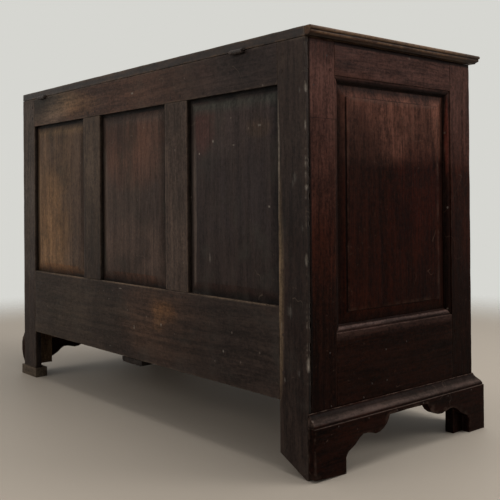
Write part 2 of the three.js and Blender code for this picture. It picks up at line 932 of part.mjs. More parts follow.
// One drawer, built on the right of the divider and mirrored for the left
function drawer(side) {
  const left = divider_width / 2 + drawer_side_gap;
  const right = front_inner_edge - drawer_side_gap;
  const low = drawer_opening_low + drawer_front_gap;
  const high = drawer_opening_top - drawer_front_gap;
  const side_low = drawer_opening_low + joint_gap;
  const side_high = high - drawer_side_drop;
  const front = -half_depth;
  const front_rear = front + drawer_front_thickness;
  const rear = inner_back_y - drawer_rear_space;
  const bottom_low = side_low + drawer_bottom_rise;
  const bottom_high = bottom_low + drawer_bottom_thickness;
  const inner_left = left + drawer_side_thickness;
  const inner_right = right - drawer_side_thickness;
  const bottom_slot = board(
    inner_left - drawer_bottom_groove,
    inner_right + drawer_bottom_groove,
    front_rear - drawer_bottom_groove - joint_gap,
    rear + overrun,
    bottom_low - joint_gap,
    bottom_high + joint_gap,
  );
  let front_board = board(left, right, front, front_rear, low, high).subtract(bottom_slot);
  const sides = [];
  for (const [from, to] of [[left, inner_left], [inner_right, right]]) {
    const socket = drawn_out(
      side_outline(side_low + drawer_front_gap, side_high, joint_gap),
      from - joint_gap,
      to + joint_gap,
    );
    front_board = front_board.subtract(socket);
    sides.push(drawn_out(side_outline(side_low + drawer_front_gap, side_high, 0), from, to)
      .subtract(bottom_slot));
  }
  const back_board = board(
    inner_left + joint_gap,
    inner_right - joint_gap,
    rear - drawer_back_thickness,
    rear,
    bottom_high + 2 * joint_gap,
    side_high - drawer_back_drop,
  );
  const bottom_board = board(
    inner_left - drawer_bottom_groove + joint_gap,
    inner_right + drawer_bottom_groove - joint_gap,
    front_rear - drawer_bottom_groove,
    rear,
    bottom_low,
    bottom_high,
  );
  const parts = [
    ['front', front_board, side_oak],
    ['inner_side', sides[0], inner_oak],
    ['outer_side', sides[1], inner_oak],
    ['back', back_board, inner_oak],
    ['bottom', bottom_board, inner_oak],
  ];
  const turned = (shape) => (side === 'right' ? shape : shape.mirror([1, 0, 0]));
  const middle_x = (side === 'right' ? 1 : -1) * (left + right) / 2;
  return [
    ...parts.map(([name, shape, look]) => piece(`${side}_drawer_${name}`, turned(shape), look)),
    ...handle(side, middle_x, (low + high) / 2 + handle_rise),
  ];
}

// A brass plate with two posts, and the bail that hangs between them
function handle(side, x, z) {
  const front = -half_depth;
  const half = plate_width / 2;
  const tall = plate_height / 2;
  const outline = [
    [-half, 0],
    [-half + plate_corner, -tall + plate_corner / 2],
    [-half + 2 * plate_corner, -tall],
    [half - 2 * plate_corner, -tall],
    [half - plate_corner, -tall + plate_corner / 2],
    [half, 0],
    [half - plate_corner, tall - plate_corner / 2],
    [half - 2 * plate_corner, tall],
    [-half + 2 * plate_corner, tall],
    [-half + plate_corner, tall - plate_corner / 2],
  ];
  let plate = pushed_through(outline, -plate_thickness - joint_gap, -joint_gap);
  for (const post_x of [-post_pitch / 2, post_pitch / 2]) {
    const post = new THREE.CylinderGeometry(post_radius, post_radius, post_length, round_sides);
    plate = plate.add(solid(post.translate(post_x, -post_length / 2 - joint_gap, 0)));
  }
  const reach = post_pitch / 2 + post_radius + overrun;
  plate = plate.subtract(bar(-reach, reach, -pivot_reach, 0, bail_radius + bail_swing_gap));
  const mid_plate = new THREE.Group();
  mid_plate.position.set(x, front, z);
  mid_plate.add(piece(`${side}_handle_plate`, plate, brass));
  mid_plate.add(bail(`${side}_handle_bail`));
  return [mid_plate];
}

// The bail is one rod: its ends turn inwards through the posts.
function bail(name) {
  const half = post_pitch / 2;
  const places = [];
  const place = (sign, along, down) => new THREE.Vector3(
    sign * (half + along * post_pitch),
    -pivot_reach,
    -down * bail_drop,
  );
  for (const [along, down] of bail_path_shares) {
    places.push(place(-1, along, down));
  }
  for (const [along, down] of bail_path_shares.slice(0, -1).toReversed()) {
    places.push(place(1, along, down));
  }
  const section = new THREE.Shape();
  section.absarc(0, 0, bail_radius, 0, 2 * Math.PI);
  const path = new THREE.CatmullRomCurve3(places, false, 'centripetal');
  const geometry = new THREE.ExtrudeGeometry(section, {
    steps: bail_steps,
    curveSegments: rod_sides,
    extrudePath: path,
    bevelEnabled: false,
  });
  return piece(name, solid(geometry), brass);
}

// The chest is moved so that its footprint's middle is over the origin.
const front_reach = half_depth + plinth_thickness;
const rear_reach = hinge_y + knuckle_radius;
const chest = new THREE.Group();
chest.position.y = (front_reach - rear_reach) / 2;
chest.add(
  back_frame(),
  end_frame('left', -1),
  end_frame('right', 1),
  front_frame(),
  chest_floor(),
  middle_bearer(),
  side_runner('runner_left', -1),
  side_runner('runner_right', 1),
  front_plinth(),
  end_plinth('left', -1),
  end_plinth('right', 1),
  foot_block(),
  lid_board(),
  lid_front_moulding(),
  lid_end_moulding('left', -1),
  lid_end_moulding('right', 1),
  ...hinge('left', hinge_left_x),
  ...hinge('right', hinge_right_x),
  ...drawer('left'),
  ...drawer('right'),
);

export default chest;
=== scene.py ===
import math

import bmesh
import bpy
from mathutils import Matrix, Vector, noise
from mathutils.geometry import tessellate_polygon


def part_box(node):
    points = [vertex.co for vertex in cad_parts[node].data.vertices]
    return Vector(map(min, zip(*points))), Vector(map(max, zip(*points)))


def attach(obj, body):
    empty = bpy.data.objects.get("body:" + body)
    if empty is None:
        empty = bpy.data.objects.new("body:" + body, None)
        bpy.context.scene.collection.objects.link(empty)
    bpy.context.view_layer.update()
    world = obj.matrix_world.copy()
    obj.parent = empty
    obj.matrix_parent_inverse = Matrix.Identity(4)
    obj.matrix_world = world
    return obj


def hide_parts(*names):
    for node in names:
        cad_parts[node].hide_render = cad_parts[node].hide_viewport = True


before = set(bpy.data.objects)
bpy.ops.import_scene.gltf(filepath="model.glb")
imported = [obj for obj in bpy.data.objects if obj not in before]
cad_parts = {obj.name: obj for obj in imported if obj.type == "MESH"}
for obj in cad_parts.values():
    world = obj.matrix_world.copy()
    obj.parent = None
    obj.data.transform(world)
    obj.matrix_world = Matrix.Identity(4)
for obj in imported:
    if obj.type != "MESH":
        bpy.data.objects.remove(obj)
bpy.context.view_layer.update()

# Camera
# It stands behind the chest and to its left, half a metre up. The lens is shifted,
# so that the uprights stay upright and the chest sits low in the picture.
camera_place = Vector((-1.6692, 1.2931, 0.525))
camera_turn = 0.8689
camera_pitch = 0.0066
camera_roll = -0.0081
camera_lens = 56.75
camera_shift = -0.1115
looking = Vector((
    math.sin(camera_turn) * math.cos(camera_pitch),
    -math.cos(camera_turn) * math.cos(camera_pitch),
    math.sin(camera_pitch),
))
level_right = looking.cross(Vector((0, 0, 1))).normalized()
level_up = level_right.cross(looking)
camera_right = level_right * math.cos(camera_roll) + level_up * math.sin(camera_roll)
camera_up = level_up * math.cos(camera_roll) - level_right * math.sin(camera_roll)


def put(name, data):
    """A new object in the scene, with the data it shows."""
    made = bpy.data.objects.new(name, data)
    bpy.context.scene.collection.objects.link(made)
    return made


camera = put("camera", bpy.data.cameras.new("camera"))
camera.data.lens = camera_lens
camera.data.shift_y = camera_shift
camera.matrix_world = (
    Matrix.Translation(camera_place) @ Matrix((camera_right, camera_up, -looking)).transposed().to_4x4()
)
bpy.context.scene.camera = camera
bpy.context.scene.view_settings.view_transform = "Standard"

# Floor, backdrop and studio light
# A plain pale floor that fades into a plain pale backdrop, so that no far edge shows.
# One wide lamp hangs overhead, one stands beyond the front left corner, and one far behind the chest.
floor_reach = 6
floor_fade_start = 1.5
floor_fade_end = 2.6


def tint(red, green, blue):
    """A colour written in display values from 0 to 255, as the linear colour that shaders take."""
    shares = [value / 255 for value in (red, green, blue)]
    return (*[s / 12.92 if s <= 0.04045 else ((s + 0.055) / 1.055) ** 2.4 for s in shares], 1)


def joined(tree, value, socket):
    """Gives a socket another node's output, or a plain value."""
    if isinstance(value, bpy.types.NodeSocket):
        tree.links.new(value, socket)
    else:
        socket.default_value = value


def added(tree, kind, settings=None, **sockets):
    """A new node with its settings, and its sockets filled by name."""
    node = tree.nodes.new(kind)
    for name, value in (settings or {}).items():
        setattr(node, name, value)
    for name, value in sockets.items():
        joined(tree, value, node.inputs[name.replace("_", " ")])
    return node


def maths(tree, operation, *values, clamped=False):
    """The result of one sum on numbers."""
    node = added(tree, "ShaderNodeMath", {"operation": operation, "use_clamp": clamped})
    for value, socket in zip(values, node.inputs):
        joined(tree, value, socket)
    return node.outputs[0]


def spread(tree, value, low, high, least=0, most=1):
    """A number from low to high, eased and stretched to run from least to most."""
    node = added(tree, "ShaderNodeMapRange", {"interpolation_type": "SMOOTHSTEP"}, Value=value)
    for name, number in (("From Min", low), ("From Max", high), ("To Min", least), ("To Max", most)):
        joined(tree, number, node.inputs[name])
    return node.outputs[0]


def blank_look(name):
    """A new material and its node tree, still empty."""
    look = bpy.data.materials.new(name)
    look.use_nodes = True
    look.node_tree.nodes.clear()
    return look, look.node_tree


def blended(tree, share, first, second):
    """Two shaders mixed by a share."""
    node = added(tree, "ShaderNodeMixShader", Fac=share)
    tree.links.new(first.outputs[0], node.inputs[1])
    tree.links.new(second.outputs[0], node.inputs[2])
    return node.outputs[0]


floor_mesh = bpy.data.meshes.new("floor")
floor_corners = [(x * floor_reach, y * floor_reach, 0) for x, y in ((-1, -1), (1, -1), (1, 1), (-1, 1))]
floor_mesh.from_pydata(floor_corners, [], [(0, 1, 2, 3)])
floor = put("floor", floor_mesh)

floor_look, floor_tree = blank_look("pale_floor")
floor_place = added(floor_tree, "ShaderNodeTexCoord").outputs["Object"]
floor_distance = added(floor_tree, "ShaderNodeVectorMath", {"operation": "LENGTH"}, Vector=floor_place)
floor_fade = spread(floor_tree, floor_distance.outputs["Value"], floor_fade_start, floor_fade_end)
floor_matt = added(
    floor_tree, "ShaderNodeBsdfPrincipled", Base_Color=tint(166, 155, 141), Roughness=0.6,
    Specular_IOR_Level=0.2,
)
floor_clear = added(floor_tree, "ShaderNodeBsdfTransparent")
floor_mix = blended(floor_tree, floor_fade, floor_matt, floor_clear)
added(floor_tree, "ShaderNodeOutputMaterial", Surface=floor_mix)
floor_mesh.materials.append(floor_look)

world = bpy.data.worlds.new("backdrop")
world.use_nodes = True
world_tree = world.node_tree
world_tree.nodes.clear()
world_rays = added(world_tree, "ShaderNodeLightPath").outputs
seen_or_mirrored = maths(world_tree, "MAXIMUM", world_rays["Is Camera Ray"], world_rays["Is Glossy Ray"])
seen_or_mirrored = maths(world_tree, "MAXIMUM", seen_or_mirrored, world_rays["Is Transmission Ray"])
world_shown = added(world_tree, "ShaderNodeBackground", Color=tint(214, 214, 209), Strength=1)
world_light = added(world_tree, "ShaderNodeBackground", Color=tint(230, 230, 232), Strength=0.5)
world_mix = blended(world_tree, seen_or_mirrored, world_light, world_shown)
added(world_tree, "ShaderNodeOutputWorld", Surface=world_mix)
bpy.context.scene.world = world

lamps = {
    "overhead_lamp": {"place": (-0.5, -0.3, 2.9), "aim": (0, 0, 0.3), "size": 2.4, "power": 62},
    "front_lamp": {"place": (-2.6, -1.9, 1.9), "aim": (-0.3, 0, 0.4), "size": 1.4, "power": 30},
    "rear_lamp": {"place": (0.6, 3.4, 1.6), "aim": (0, 0.2, 0.4), "size": 2.2, "power": 30},
}
for lamp_name, lamp_facts in lamps.items():
    lamp_data = bpy.data.lights.new(lamp_name, "AREA")
    lamp_data.shape = "DISK"
    lamp_data.size = lamp_facts["size"]
    lamp_data.energy = lamp_facts["power"]
    lamp = put(lamp_name, lamp_data)
    lamp.location = lamp_facts["place"]
    lamp.rotation_euler = (Vector(lamp_facts["aim"]) - lamp.location).to_track_quat("-Z", "Y").to_euler()

# Frame of the back
# Two stiles, two rails and two muntins, of plain oak never polished. The far stile has lost its foot.
# Tenoned and pegged together, they are black-brown with age, handling and dust.
weld = 0.00001
flat_turn = math.radians(1)
arris_turn = math.radians(25)
sharp_turn = math.radians(34)
axis_turns = {"x": (0, 0, 0), "y": (0, 0, -math.pi / 2), "z": (0, math.pi / 2, 0)}
bare_wood = tint(142, 132, 120)
inner_wood = tint(98, 78, 58)
worn_limit = 0.09
end_margin = 0.005
wave_scale = 14
board_shift = 9
ripple_scale = 41
rub_scale = 37
blow_scale = 150
blow_swell_scale = 9
inner_facing = 0.6


def vectors(tree, operation, *values):
    """The result of one sum on places."""
    node = added(tree, "ShaderNodeVectorMath", {"operation": operation})
    for value, socket in zip(values, node.inputs):
        joined(tree, value, socket)
    return node.outputs[0]


def times(tree, first, second):
    """The product of two numbers."""
    return maths(tree, "MULTIPLY", first, second)


def noisy(tree, place, scale, detail, roughness=0.55, distortion=0):
    """A value of clouded noise."""
    node = added(
        tree, "ShaderNodeTexNoise", Vector=place, Scale=scale, Detail=detail, Roughness=roughness,
        Distortion=distortion,
    )
    return node.outputs[0]


def painted(tree, name):
    """What a mesh holds at each of its points under one name."""
    return added(tree, "ShaderNodeAttribute", {"attribute_name": name}).outputs


def scaled(tree, place, along, across):
    """Places squeezed along the grain and stretched across it."""
    return vectors(tree, "MULTIPLY", place, (along, across, across))


def mixed(tree, share, first, second, how="MIX"):
    """Two colours mixed by a share."""
    node = added(tree, "ShaderNodeMix", {"data_type": "RGBA", "blend_type": how})
    joined(tree, share, node.inputs[0])
    joined(tree, first, node.inputs[6])
    joined(tree, second, node.inputs[7])
    return node.outputs[2]


def ramped(tree, value, *stops):
    """A colour picked between stops, each a place and a colour."""
    node = added(tree, "ShaderNodeValToRGB", Fac=value)
    band = node.color_ramp.elements
    while len(band) < len(stops):
        band.new(0.5)
    for place, (at, colour) in enumerate(stops):
        band[place].position = at
        band[place].color = colour
    return node.outputs[0]


def oak(name, along, tones, grime, bloom, worn_and_highlight, sheen=0.06, rough=(0.45, 0.65), figure=1.0, contrast=1.0):
    """Old oak with its grain along one axis. It takes the board's own tone, staining, painted light and
    shade, rubbed arrises with a painted highlight, and a grey dusting with painted sheen on faces that look
    up.
    """
    look, tree = blank_look(name)
    board, wear_and_highlight, dust = [painted(tree, name)["Fac"] for name in ("board", "wear_and_highlight", "dust")]
    stain = painted(tree, "stain")
    place = added(tree, "ShaderNodeTexCoord").outputs["Object"]
    apart = added(tree, "ShaderNodeVectorMath", {"operation": "SCALE"}, Scale=board)
    joined(tree, (7.3, 4.1, 5.9), apart.inputs[0])
    own = vectors(tree, "ADD", place, apart.outputs[0])
    turned = added(tree, "ShaderNodeMapping", Vector=own, Rotation=axis_turns[along]).outputs[0]
    drift = added(tree, "ShaderNodeTexNoise", Vector=scaled(tree, turned, 2.2, 5), Scale=1, Detail=2)
    grain = vectors(tree, "MULTIPLY_ADD", drift.outputs[1], (0, 0.022, 0.022), turned)

    # Growth rings, streaks, fine fibre and open pores
    swell = noisy(tree, scaled(tree, grain, 0.8, 11), 1, 1.5, 0.4)
    rings = maths(tree, "SINE", times(tree, swell, 62))
    streaks = noisy(tree, scaled(tree, grain, 5, 170), 1, 6, 0.62)
    fine = noisy(tree, scaled(tree, grain, 16, 620), 1, 3, 0.6)
    pores = spread(tree, noisy(tree, scaled(tree, grain, 26, 880), 1, 1.5), 0.57, 0.7)
    broad = noisy(tree, scaled(tree, own, 4, 4), 1, 3, 0.55, 0.3)
    flecks = noisy(tree, scaled(tree, grain, 55, 190), 1, 3, 0.7)
    mottle = noisy(tree, own, 150, 4, 0.75)
    tone = maths(tree, "MULTIPLY_ADD", streaks, 0.5, times(tree, rings, 0.04 * figure))
    tone = maths(tree, "MULTIPLY_ADD", fine, 0.3, tone)
    tone = maths(tree, "MULTIPLY_ADD", flecks, 0.5, tone)
    tone = maths(tree, "MULTIPLY_ADD", mottle, 0.6, tone)
    tone = maths(tree, "MULTIPLY_ADD", broad, 0.4, maths(tree, "SUBTRACT", tone, 1.15))
    tone = maths(tree, "MULTIPLY_ADD", tone, contrast, 0.5)
    colour = ramped(tree, tone, (0.3, tones[0]), (0.5, tones[1]), (0.74, tones[2]))
    colour = mixed(tree, times(tree, pores, 0.5), colour, tones[0])

    # Old stains, and painted light and shade, on the board, darkened and lightened by its own grain
    patchy = spread(tree, noisy(tree, scaled(tree, grain, 9, 34), 1, 4, 0.6), 0.25, 0.75, 0.6, 1.25)
    stain_and_light_value = added(tree, "ShaderNodeRGBToBW", Color=stain["Color"]).outputs[0]
    bare_share = maths(tree, "SUBTRACT", maths(tree, "ADD", stain_and_light_value, 1), stain["Alpha"])
    open_face = spread(tree, bare_share, 0.003, 0.009)
    stain_and_light_share = maths(tree, "MULTIPLY", stain["Alpha"], patchy, clamped=True)
    stain_and_light_share = maths(tree, "MAXIMUM", stain_and_light_share, maths(tree, "SUBTRACT", 1, open_face))
    stain_and_light_grain = ramped(tree, tone, (0.3, (0.5, 0.5, 0.5, 1)), (0.7, (1.5, 1.5, 1.5, 1)))
    stain_and_light_tone = mixed(tree, 1, stain["Color"], stain_and_light_grain, "MULTIPLY")
    colour = mixed(tree, stain_and_light_share, colour, stain_and_light_tone)

    # Dirt in clouds, and a greyish bloom over them
    cloud = noisy(tree, own, 5.5, 4, 0.6, 0.5)
    colour = mixed(tree, times(tree, spread(tree, cloud, 0.45, 0.75), grime[1]), colour, grime[0])
    haze = noisy(tree, own, 13, 5, 0.62, 0.3)
    bloomed = times(tree, spread(tree, haze, 0.46, 0.78), open_face)
    colour = mixed(tree, times(tree, bloomed, bloom[1]), colour, bloom[0])

    # Rubbed arrises, lightened by wear and by a painted highlight; settled dust with painted sheen; pale
    # specks and fine scratches
    rubbed_and_lit = spread(tree, noisy(tree, own, 42, 5, 0.7), 0.4, 0.66)
    colour = mixed(tree, times(tree, times(tree, wear_and_highlight, rubbed_and_lit), worn_and_highlight[1]), colour, worn_and_highlight[0])
    dust_and_sheen_patches = spread(tree, noisy(tree, own, 65, 5, 0.7), 0.3, 0.7, 0.35, 1)
    colour = mixed(tree, times(tree, dust, dust_and_sheen_patches), colour, tint(84, 72, 64))
    cells = added(tree, "ShaderNodeTexVoronoi", Vector=own, Scale=34)
    draw = added(tree, "ShaderNodeSeparateColor", Color=cells.outputs["Color"]).outputs[0]
    speck = maths(
        tree, "MULTIPLY", maths(tree, "LESS_THAN", cells.outputs["Distance"], 0.085),
        maths(tree, "GREATER_THAN", draw, 0.86),
    )
    colour = mixed(tree, times(tree, speck, 0.4), colour, tint(112, 100, 90))
    scuffs = spread(tree, noisy(tree, scaled(tree, own, 85, 120), 1, 4, 0.75), 0.62, 0.74)
    scuffs = times(tree, times(tree, scuffs, spread(tree, haze, 0.42, 0.62)), open_face)
    colour = mixed(tree, times(tree, scuffs, worn_and_highlight[1]), colour, worn_and_highlight[0])
    lines = noisy(tree, scaled(tree, own, 11, 8), 1, 2, 0.5, 0.4)
    line = maths(tree, "LESS_THAN", maths(tree, "ABSOLUTE", maths(tree, "SUBTRACT", lines, 0.5)), 0.0022)
    line = times(tree, line, maths(tree, "GREATER_THAN", cloud, 0.6))
    colour = mixed(tree, times(tree, line, 0.3), colour, worn_and_highlight[0])

    # Gloss, and the relief of the grain, the scratches and small dents
    shine = spread(tree, maths(tree, "MULTIPLY_ADD", streaks, 0.4, haze), 0.5, 0.95, *rough)
    relief = maths(tree, "MULTIPLY_ADD", streaks, 0.5, times(tree, pores, -0.5))
    relief = maths(tree, "MULTIPLY_ADD", rings, 0.07 * figure, relief)
    relief = maths(tree, "MULTIPLY_ADD", line, -0.6, relief)
    carved = added(tree, "ShaderNodeBump", Height=relief, Strength=0.55, Distance=0.0007).outputs[0]
    dents = noisy(tree, own, 38, 4, 0.6)
    dented = added(tree, "ShaderNodeBump", Height=dents, Strength=0.35, Distance=0.0022, Normal=carved)
    shader = added(
        tree, "ShaderNodeBsdfPrincipled", Base_Color=colour, Roughness=shine, Specular_IOR_Level=sheen,
        Normal=dented.outputs[0],
    )
    added(tree, "ShaderNodeOutputMaterial", Surface=shader.outputs[0])
    return look


def stations(low, high, pitch, margin):
    """Places to cut a board: one near each end, and a row between them."""
    places = [low + margin, high - margin] if high - low > 3 * margin else []
    count = int((high - low) // pitch)
    return places + [low + (high - low) * step / count for step in range(1, count)]


def spot(centre, reach, hue, strength, soft=0.7):
    """A mark of colour that fills an ellipsoid and fades to its rim, for staining and for painted light and
    shade. The smaller the softness, the later it fades.
    """
    return Vector(centre), reach, hue, strength, soft


def thin_cuts(axis, at, half):
    """Three cuts close together, which a line as thin as a crack can be painted on."""
    return [(axis, at - half), (axis, at), (axis, at + half)]


def stain_and_light_at(here, stains):
    """The colour that all marks of staining and of painted light and shade give one place, with their share
    as its fourth value.
    """
    mix = (0, 0, 0, 0)
    for centre, reach, hue, strength, soft in stains:
        gap = sum(((h - c) / r) ** 2 for h, c, r in zip(here, centre, reach))
        if gap < 1:
            share = strength * (1 - gap) ** soft
            over = share + mix[3] * (1 - share)
            mix = (*[(h * share + m * mix[3] * (1 - share)) / over for h, m in zip(hue[:3], mix)], over)
    return mix


def worked(node, body, look, slot, stains=(), pitch=0.016, arris=0.0006, waver=0.00035, rub=0.0007, cuts=(),
           chips=(), knocks=(), dusty=0.0, inner=None):
    """A CAD board as a joiner left it: softened arrises, a slightly wavy face, rubbing and chipping with a
    painted highlight on the arrises, staining, painted light and shade, and a grey dusting with painted
    sheen.

    Its inner side, the one that faces a given way, was never polished and has stayed paler.
    """
    low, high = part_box(node)
    form = bmesh.new()
    form.from_mesh(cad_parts[node].data)
    bmesh.ops.remove_doubles(form, verts=form.verts, dist=weld)
    bmesh.ops.dissolve_limit(form, angle_limit=flat_turn, verts=form.verts, edges=form.edges)
    form.normal_update()
    mark = form.faces.layers.int.new("rounded")
    edges = [
        edge for edge in form.edges
        if edge.is_manifold and edge.is_convex and edge.calc_face_angle() > arris_turn
    ]
    rounded = bmesh.ops.bevel(
        form, geom=edges, offset=arris, offset_type="OFFSET", segments=2, profile=0.5, affect="EDGES",
        clamp_overlap=False,
    )
    for face in rounded["faces"]:
        face[mark] = 1
    for axis in range(3):
        normal = Vector([float(other == axis) for other in range(3)])
        places = stations(low[axis], high[axis], pitch, end_margin)
        places += [at for cut_axis, at in cuts if cut_axis == axis]
        for centre, reach, _ in chips:
            places += [centre[axis] + reach[axis] * share for share in (-1, -0.5, 0, 0.5, 1)]
        for at in places:
            bmesh.ops.bisect_plane(
                form, geom=form.verts[:] + form.edges[:] + form.faces[:], dist=weld, plane_co=normal * at,
                plane_no=normal,
            )
    form.normal_update()
    board = form.verts.layers.float.new("board")
    wear_and_highlight = form.verts.layers.float.new("wear_and_highlight")
    dust = form.verts.layers.float.new("dust")
    stain = form.verts.layers.float_color.new("stain")
    own = (sum(ord(letter) * (place + 3) for place, letter in enumerate(node)) % 97) / 97
    moves = []
    for vertex in form.verts:
        here = vertex.co.copy()
        edge_share = float(any(face[mark] for face in vertex.link_faces))
        depth = waver * (0.5 + 0.5 * noise.noise(here * wave_scale + Vector((own, 0, 0)) * board_shift))
        depth += waver * 0.5 * (0.5 + 0.5 * noise.noise(here * ripple_scale))
        depth += edge_share * rub * max(0, noise.noise(here * rub_scale) + 0.1)
        bared = 0
        for centre, reach, deep in chips:
            near = max(0, 1 - Vector([(h - c) / r for h, c, r in zip(here, centre, reach)]).length)
            depth += deep * near ** 0.5
            bared = max(bared, min(0.75, 1.3 * near))
        for x, y, reach, deep in knocks:
            near = max(0, 1 - math.hypot(here.x - x, here.y - y) / reach)
            fast = noise.noise(Vector((own + x + y, here.z * blow_scale, 0.5)))
            slow = noise.noise(Vector((x, y, here.z * blow_swell_scale)))
            blow = max(0, fast + 1.3 * slow - 0.3)
            depth += deep * near * min(1, 3 * blow)
            bared = max(bared, near * min(1, 2.5 * blow) * (0.5 + 0.5 * fast))
        marks = [*stains]
        if inner and vertex.normal.dot(Vector(inner)) > inner_facing:
            marks = [spot(here, (1, 1, 1), inner_wood, 0.9)]
        if bared:
            marks.append(spot(here, (1, 1, 1), bare_wood, 0.85 * bared))
        mix = stain_and_light_at(here, marks)
        # How far the point lies under near-black marks of soot and painted shade; there the arris is not
        # lightened.
        soot_and_shade_share = mix[3] * (1 - min(1, sum(mix[:3]) / worn_limit))
        vertex[board] = own
        # Rounded arrises are lightened by wear and by a painted highlight; faces that look up are greyed by
        # dust and by a painted sheen.
        vertex[wear_and_highlight] = edge_share * (1 - soot_and_shade_share)
        vertex[dust] = dusty * max(0, vertex.normal.z) ** 2
        vertex[stain] = mix
        moves.append(here - vertex.normal * depth)
    for vertex, place in zip(form.verts, moves):
        vertex.co = place
    mesh = bpy.data.meshes.new(f"{node}_worked")
    form.to_mesh(mesh)
    form.free()
    mesh.materials.append(look)
    mesh.shade_smooth()
    mesh.set_sharp_from_angle(angle=sharp_turn)
    made = put(f"{node}_worked", mesh)
    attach(made, body)
    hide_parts(node)


back_finish = {
    "tones": (tint(36, 28, 24), tint(52, 41, 36), tint(66, 53, 45)), "grime": (tint(30, 25, 23), 0.5),
    "bloom": (tint(70, 66, 60), 0.3), "worn_and_highlight": (tint(104, 90, 76), 0.4),
}
back_upright = oak("back_oak_upright", "z", **back_finish, contrast=1.3)
back_level = oak("back_oak_level", "x", **back_finish, contrast=1.3)
to_front = (0, -1, 0)
back_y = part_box("back_top_rail")[1].y
case_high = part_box("back_top_rail")[1].z
corner_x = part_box("back_stile_left")[0].x
stile_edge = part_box("back_stile_left")[1].x
# Near-black: soot in cracks and joints, and painted shade in hollows, quirks, steps and under mouldings.
soot_and_shade = tint(14, 11, 10)
hollow_depth = 0.011
hollow_reach = 0.0095
# Painted shade and dirt on all faces of the back that lie deep in its hollows and grooves.
back_hollow_dirt_and_shade = spot((0, back_y - hollow_depth, 0.5), (2, hollow_reach, 2), soot_and_shade, 0.85, 0.4)
stain_reach = 0.1
scar_reach = 0.004


def back_stains(y, rows):
    """Patches of staining and painted light on a face of the back: x, z, reach across, reach up, colour,
    strength and perhaps softness.
    """
    return [
        spot((x, y, z), (wide, stain_reach, high), tint(*hue), *fade) for x, z, wide, high, hue, *fade in rows
    ]


def back_board(node, look, rows, over, y=back_y, **details):
    """A board of the back, bare on its inner side. Its rows of patches lie under some other marks, among them
    painted shade and light.
    """
    stains = [*back_stains(y, rows), *over]
    worked(node, "case", look, "oak_back", inner=to_front, stains=stains, **details)


def back_scars(y, deep, rows):
    """Shallow scars on a face of the back: x, z, reach across and reach up."""
    return [((x, y, z), (wide, scar_reach, high), deep) for x, z, wide, high in rows]


back_board("back_top_rail", back_level, [
    (0.14, 0.795, 0.5, 0.12, (78, 55, 44), 0.75, 0.4),
    (0.30, 0.785, 0.16, 0.035, (114, 84, 60), 0.7),
    (0.44, 0.77, 0.13, 0.03, (106, 88, 72), 0.65),
    (0.36, 0.805, 0.12, 0.035, (102, 82, 62), 0.7),
    (0.50, 0.825, 0.12, 0.03, (52, 49, 44), 0.7),
    (-0.48, 0.80, 0.3, 0.12, (48, 39, 36), 0.7),
    (0.52, 0.82, 0.2, 0.06, (46, 42, 36), 0.7),
], [back_hollow_dirt_and_shade], dusty=0.3, chips=[
    ((-0.0094, back_y, 0.7875), (0.006, 0.005, 0.003), 0.0006),
])
rail_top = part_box("back_bottom_rail")[1].z
panel_middles = [
    sum(corner.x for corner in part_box(f"back_panel_{which}")) / 2 for which in ("left", "middle", "right")
]
rail_scar_depth = 0.0005
rail_rub_reach = (0.15, 0.004, 0.0022)
rail_scars = [
    (0.0529, 0.3051, 0.009, 0.002), (-0.0112, 0.2156, 0.002, 0.006), (-0.363, 0.2065, 0.003, 0.004),
    (-0.1292, 0.2342, 0.003, 0.005), (0.1052, 0.1549, 0.006, 0.002),
]
# Pale lines on the bottom rail's top arris under each panel: wear and a painted highlight.
rail_rubs_and_highlights = [
    spot((x, back_y, rail_top), rail_rub_reach, tint(122, 102, 82), 0.85, 0.3) for x in panel_middles
]
back_board("back_bottom_rail", back_level, [
    (0.35, 0.22, 0.35, 0.14, (58, 49, 40), 0.6),
    (-0.13, 0.235, 0.22, 0.1, (74, 53, 40), 0.6),
    (-0.139, 0.2665, 0.055, 0.03, (116, 80, 50), 0.6),
    (-0.118, 0.2475, 0.03, 0.035, (112, 80, 54), 0.45),
    (-0.45, 0.2, 0.3, 0.16, (38, 30, 26), 0.7),
], rail_rubs_and_highlights, chips=back_scars(back_y, rail_scar_depth, rail_scars))
back_board("back_muntin_left", back_upright, [(-0.2, 0.56, 0.1, 0.3, (76, 62, 53), 0.8, 0.4)], [back_hollow_dirt_and_shade])
back_board("back_muntin_right", back_upright, [(0.2, 0.6, 0.1, 0.3, (80, 66, 54), 0.7)], [back_hollow_dirt_and_shade])
back_lap = 0.0095
corner_scars = [
    ((corner_x, back_y - 0.003, 0.7335), (0.006, 0.006, 0.010), 0.0018),
    ((corner_x, back_y, 0.6645), (0.004, 0.004, 0.012), 0.0012),
    ((corner_x, back_y - 0.002, 0.5475), (0.005, 0.006, 0.007), 0.0015),
    ((corner_x, back_y, 0.4115), (0.006, 0.006, 0.015), 0.0018),
    ((corner_x, back_y - 0.004, 0.2165), (0.007, 0.007, 0.017), 0.0022),
]
corner_knocks = [(corner_x, back_y, 0.0038, 0.0016), (corner_x, back_y - back_lap, 0.0045, 0.0016)]
corner_cut_low = 0.02
corner_cut_pitch = 0.0035
corner_cut_count = 230
corner_cuts = [(2, corner_cut_low + corner_cut_pitch * step) for step in range(corner_cut_count)]
corner_inset = 0.002
corner_depths = (0.002, 0.007)
worn_and_lit_edge_insets = (0.0025, 0.009, 0.013)
scratch_half = 0.0009
scratch_reach = (0.0012, 0.05)
corner_line_reach = (0.012, 0.0075, 0.52)
stile_scratches = [
    (-0.5861, 0.5655, 0.012), (-0.5801, 0.5555, 0.009), (-0.6012, 0.7305, 0.006), (-0.5941, 0.1965, 0.008),
    (-0.5712, 0.3105, 0.015), (-0.6051, 0.4705, 0.007), (-0.5535, 0.1785, 0.005), (-0.5455, 0.2805, 0.01),
]
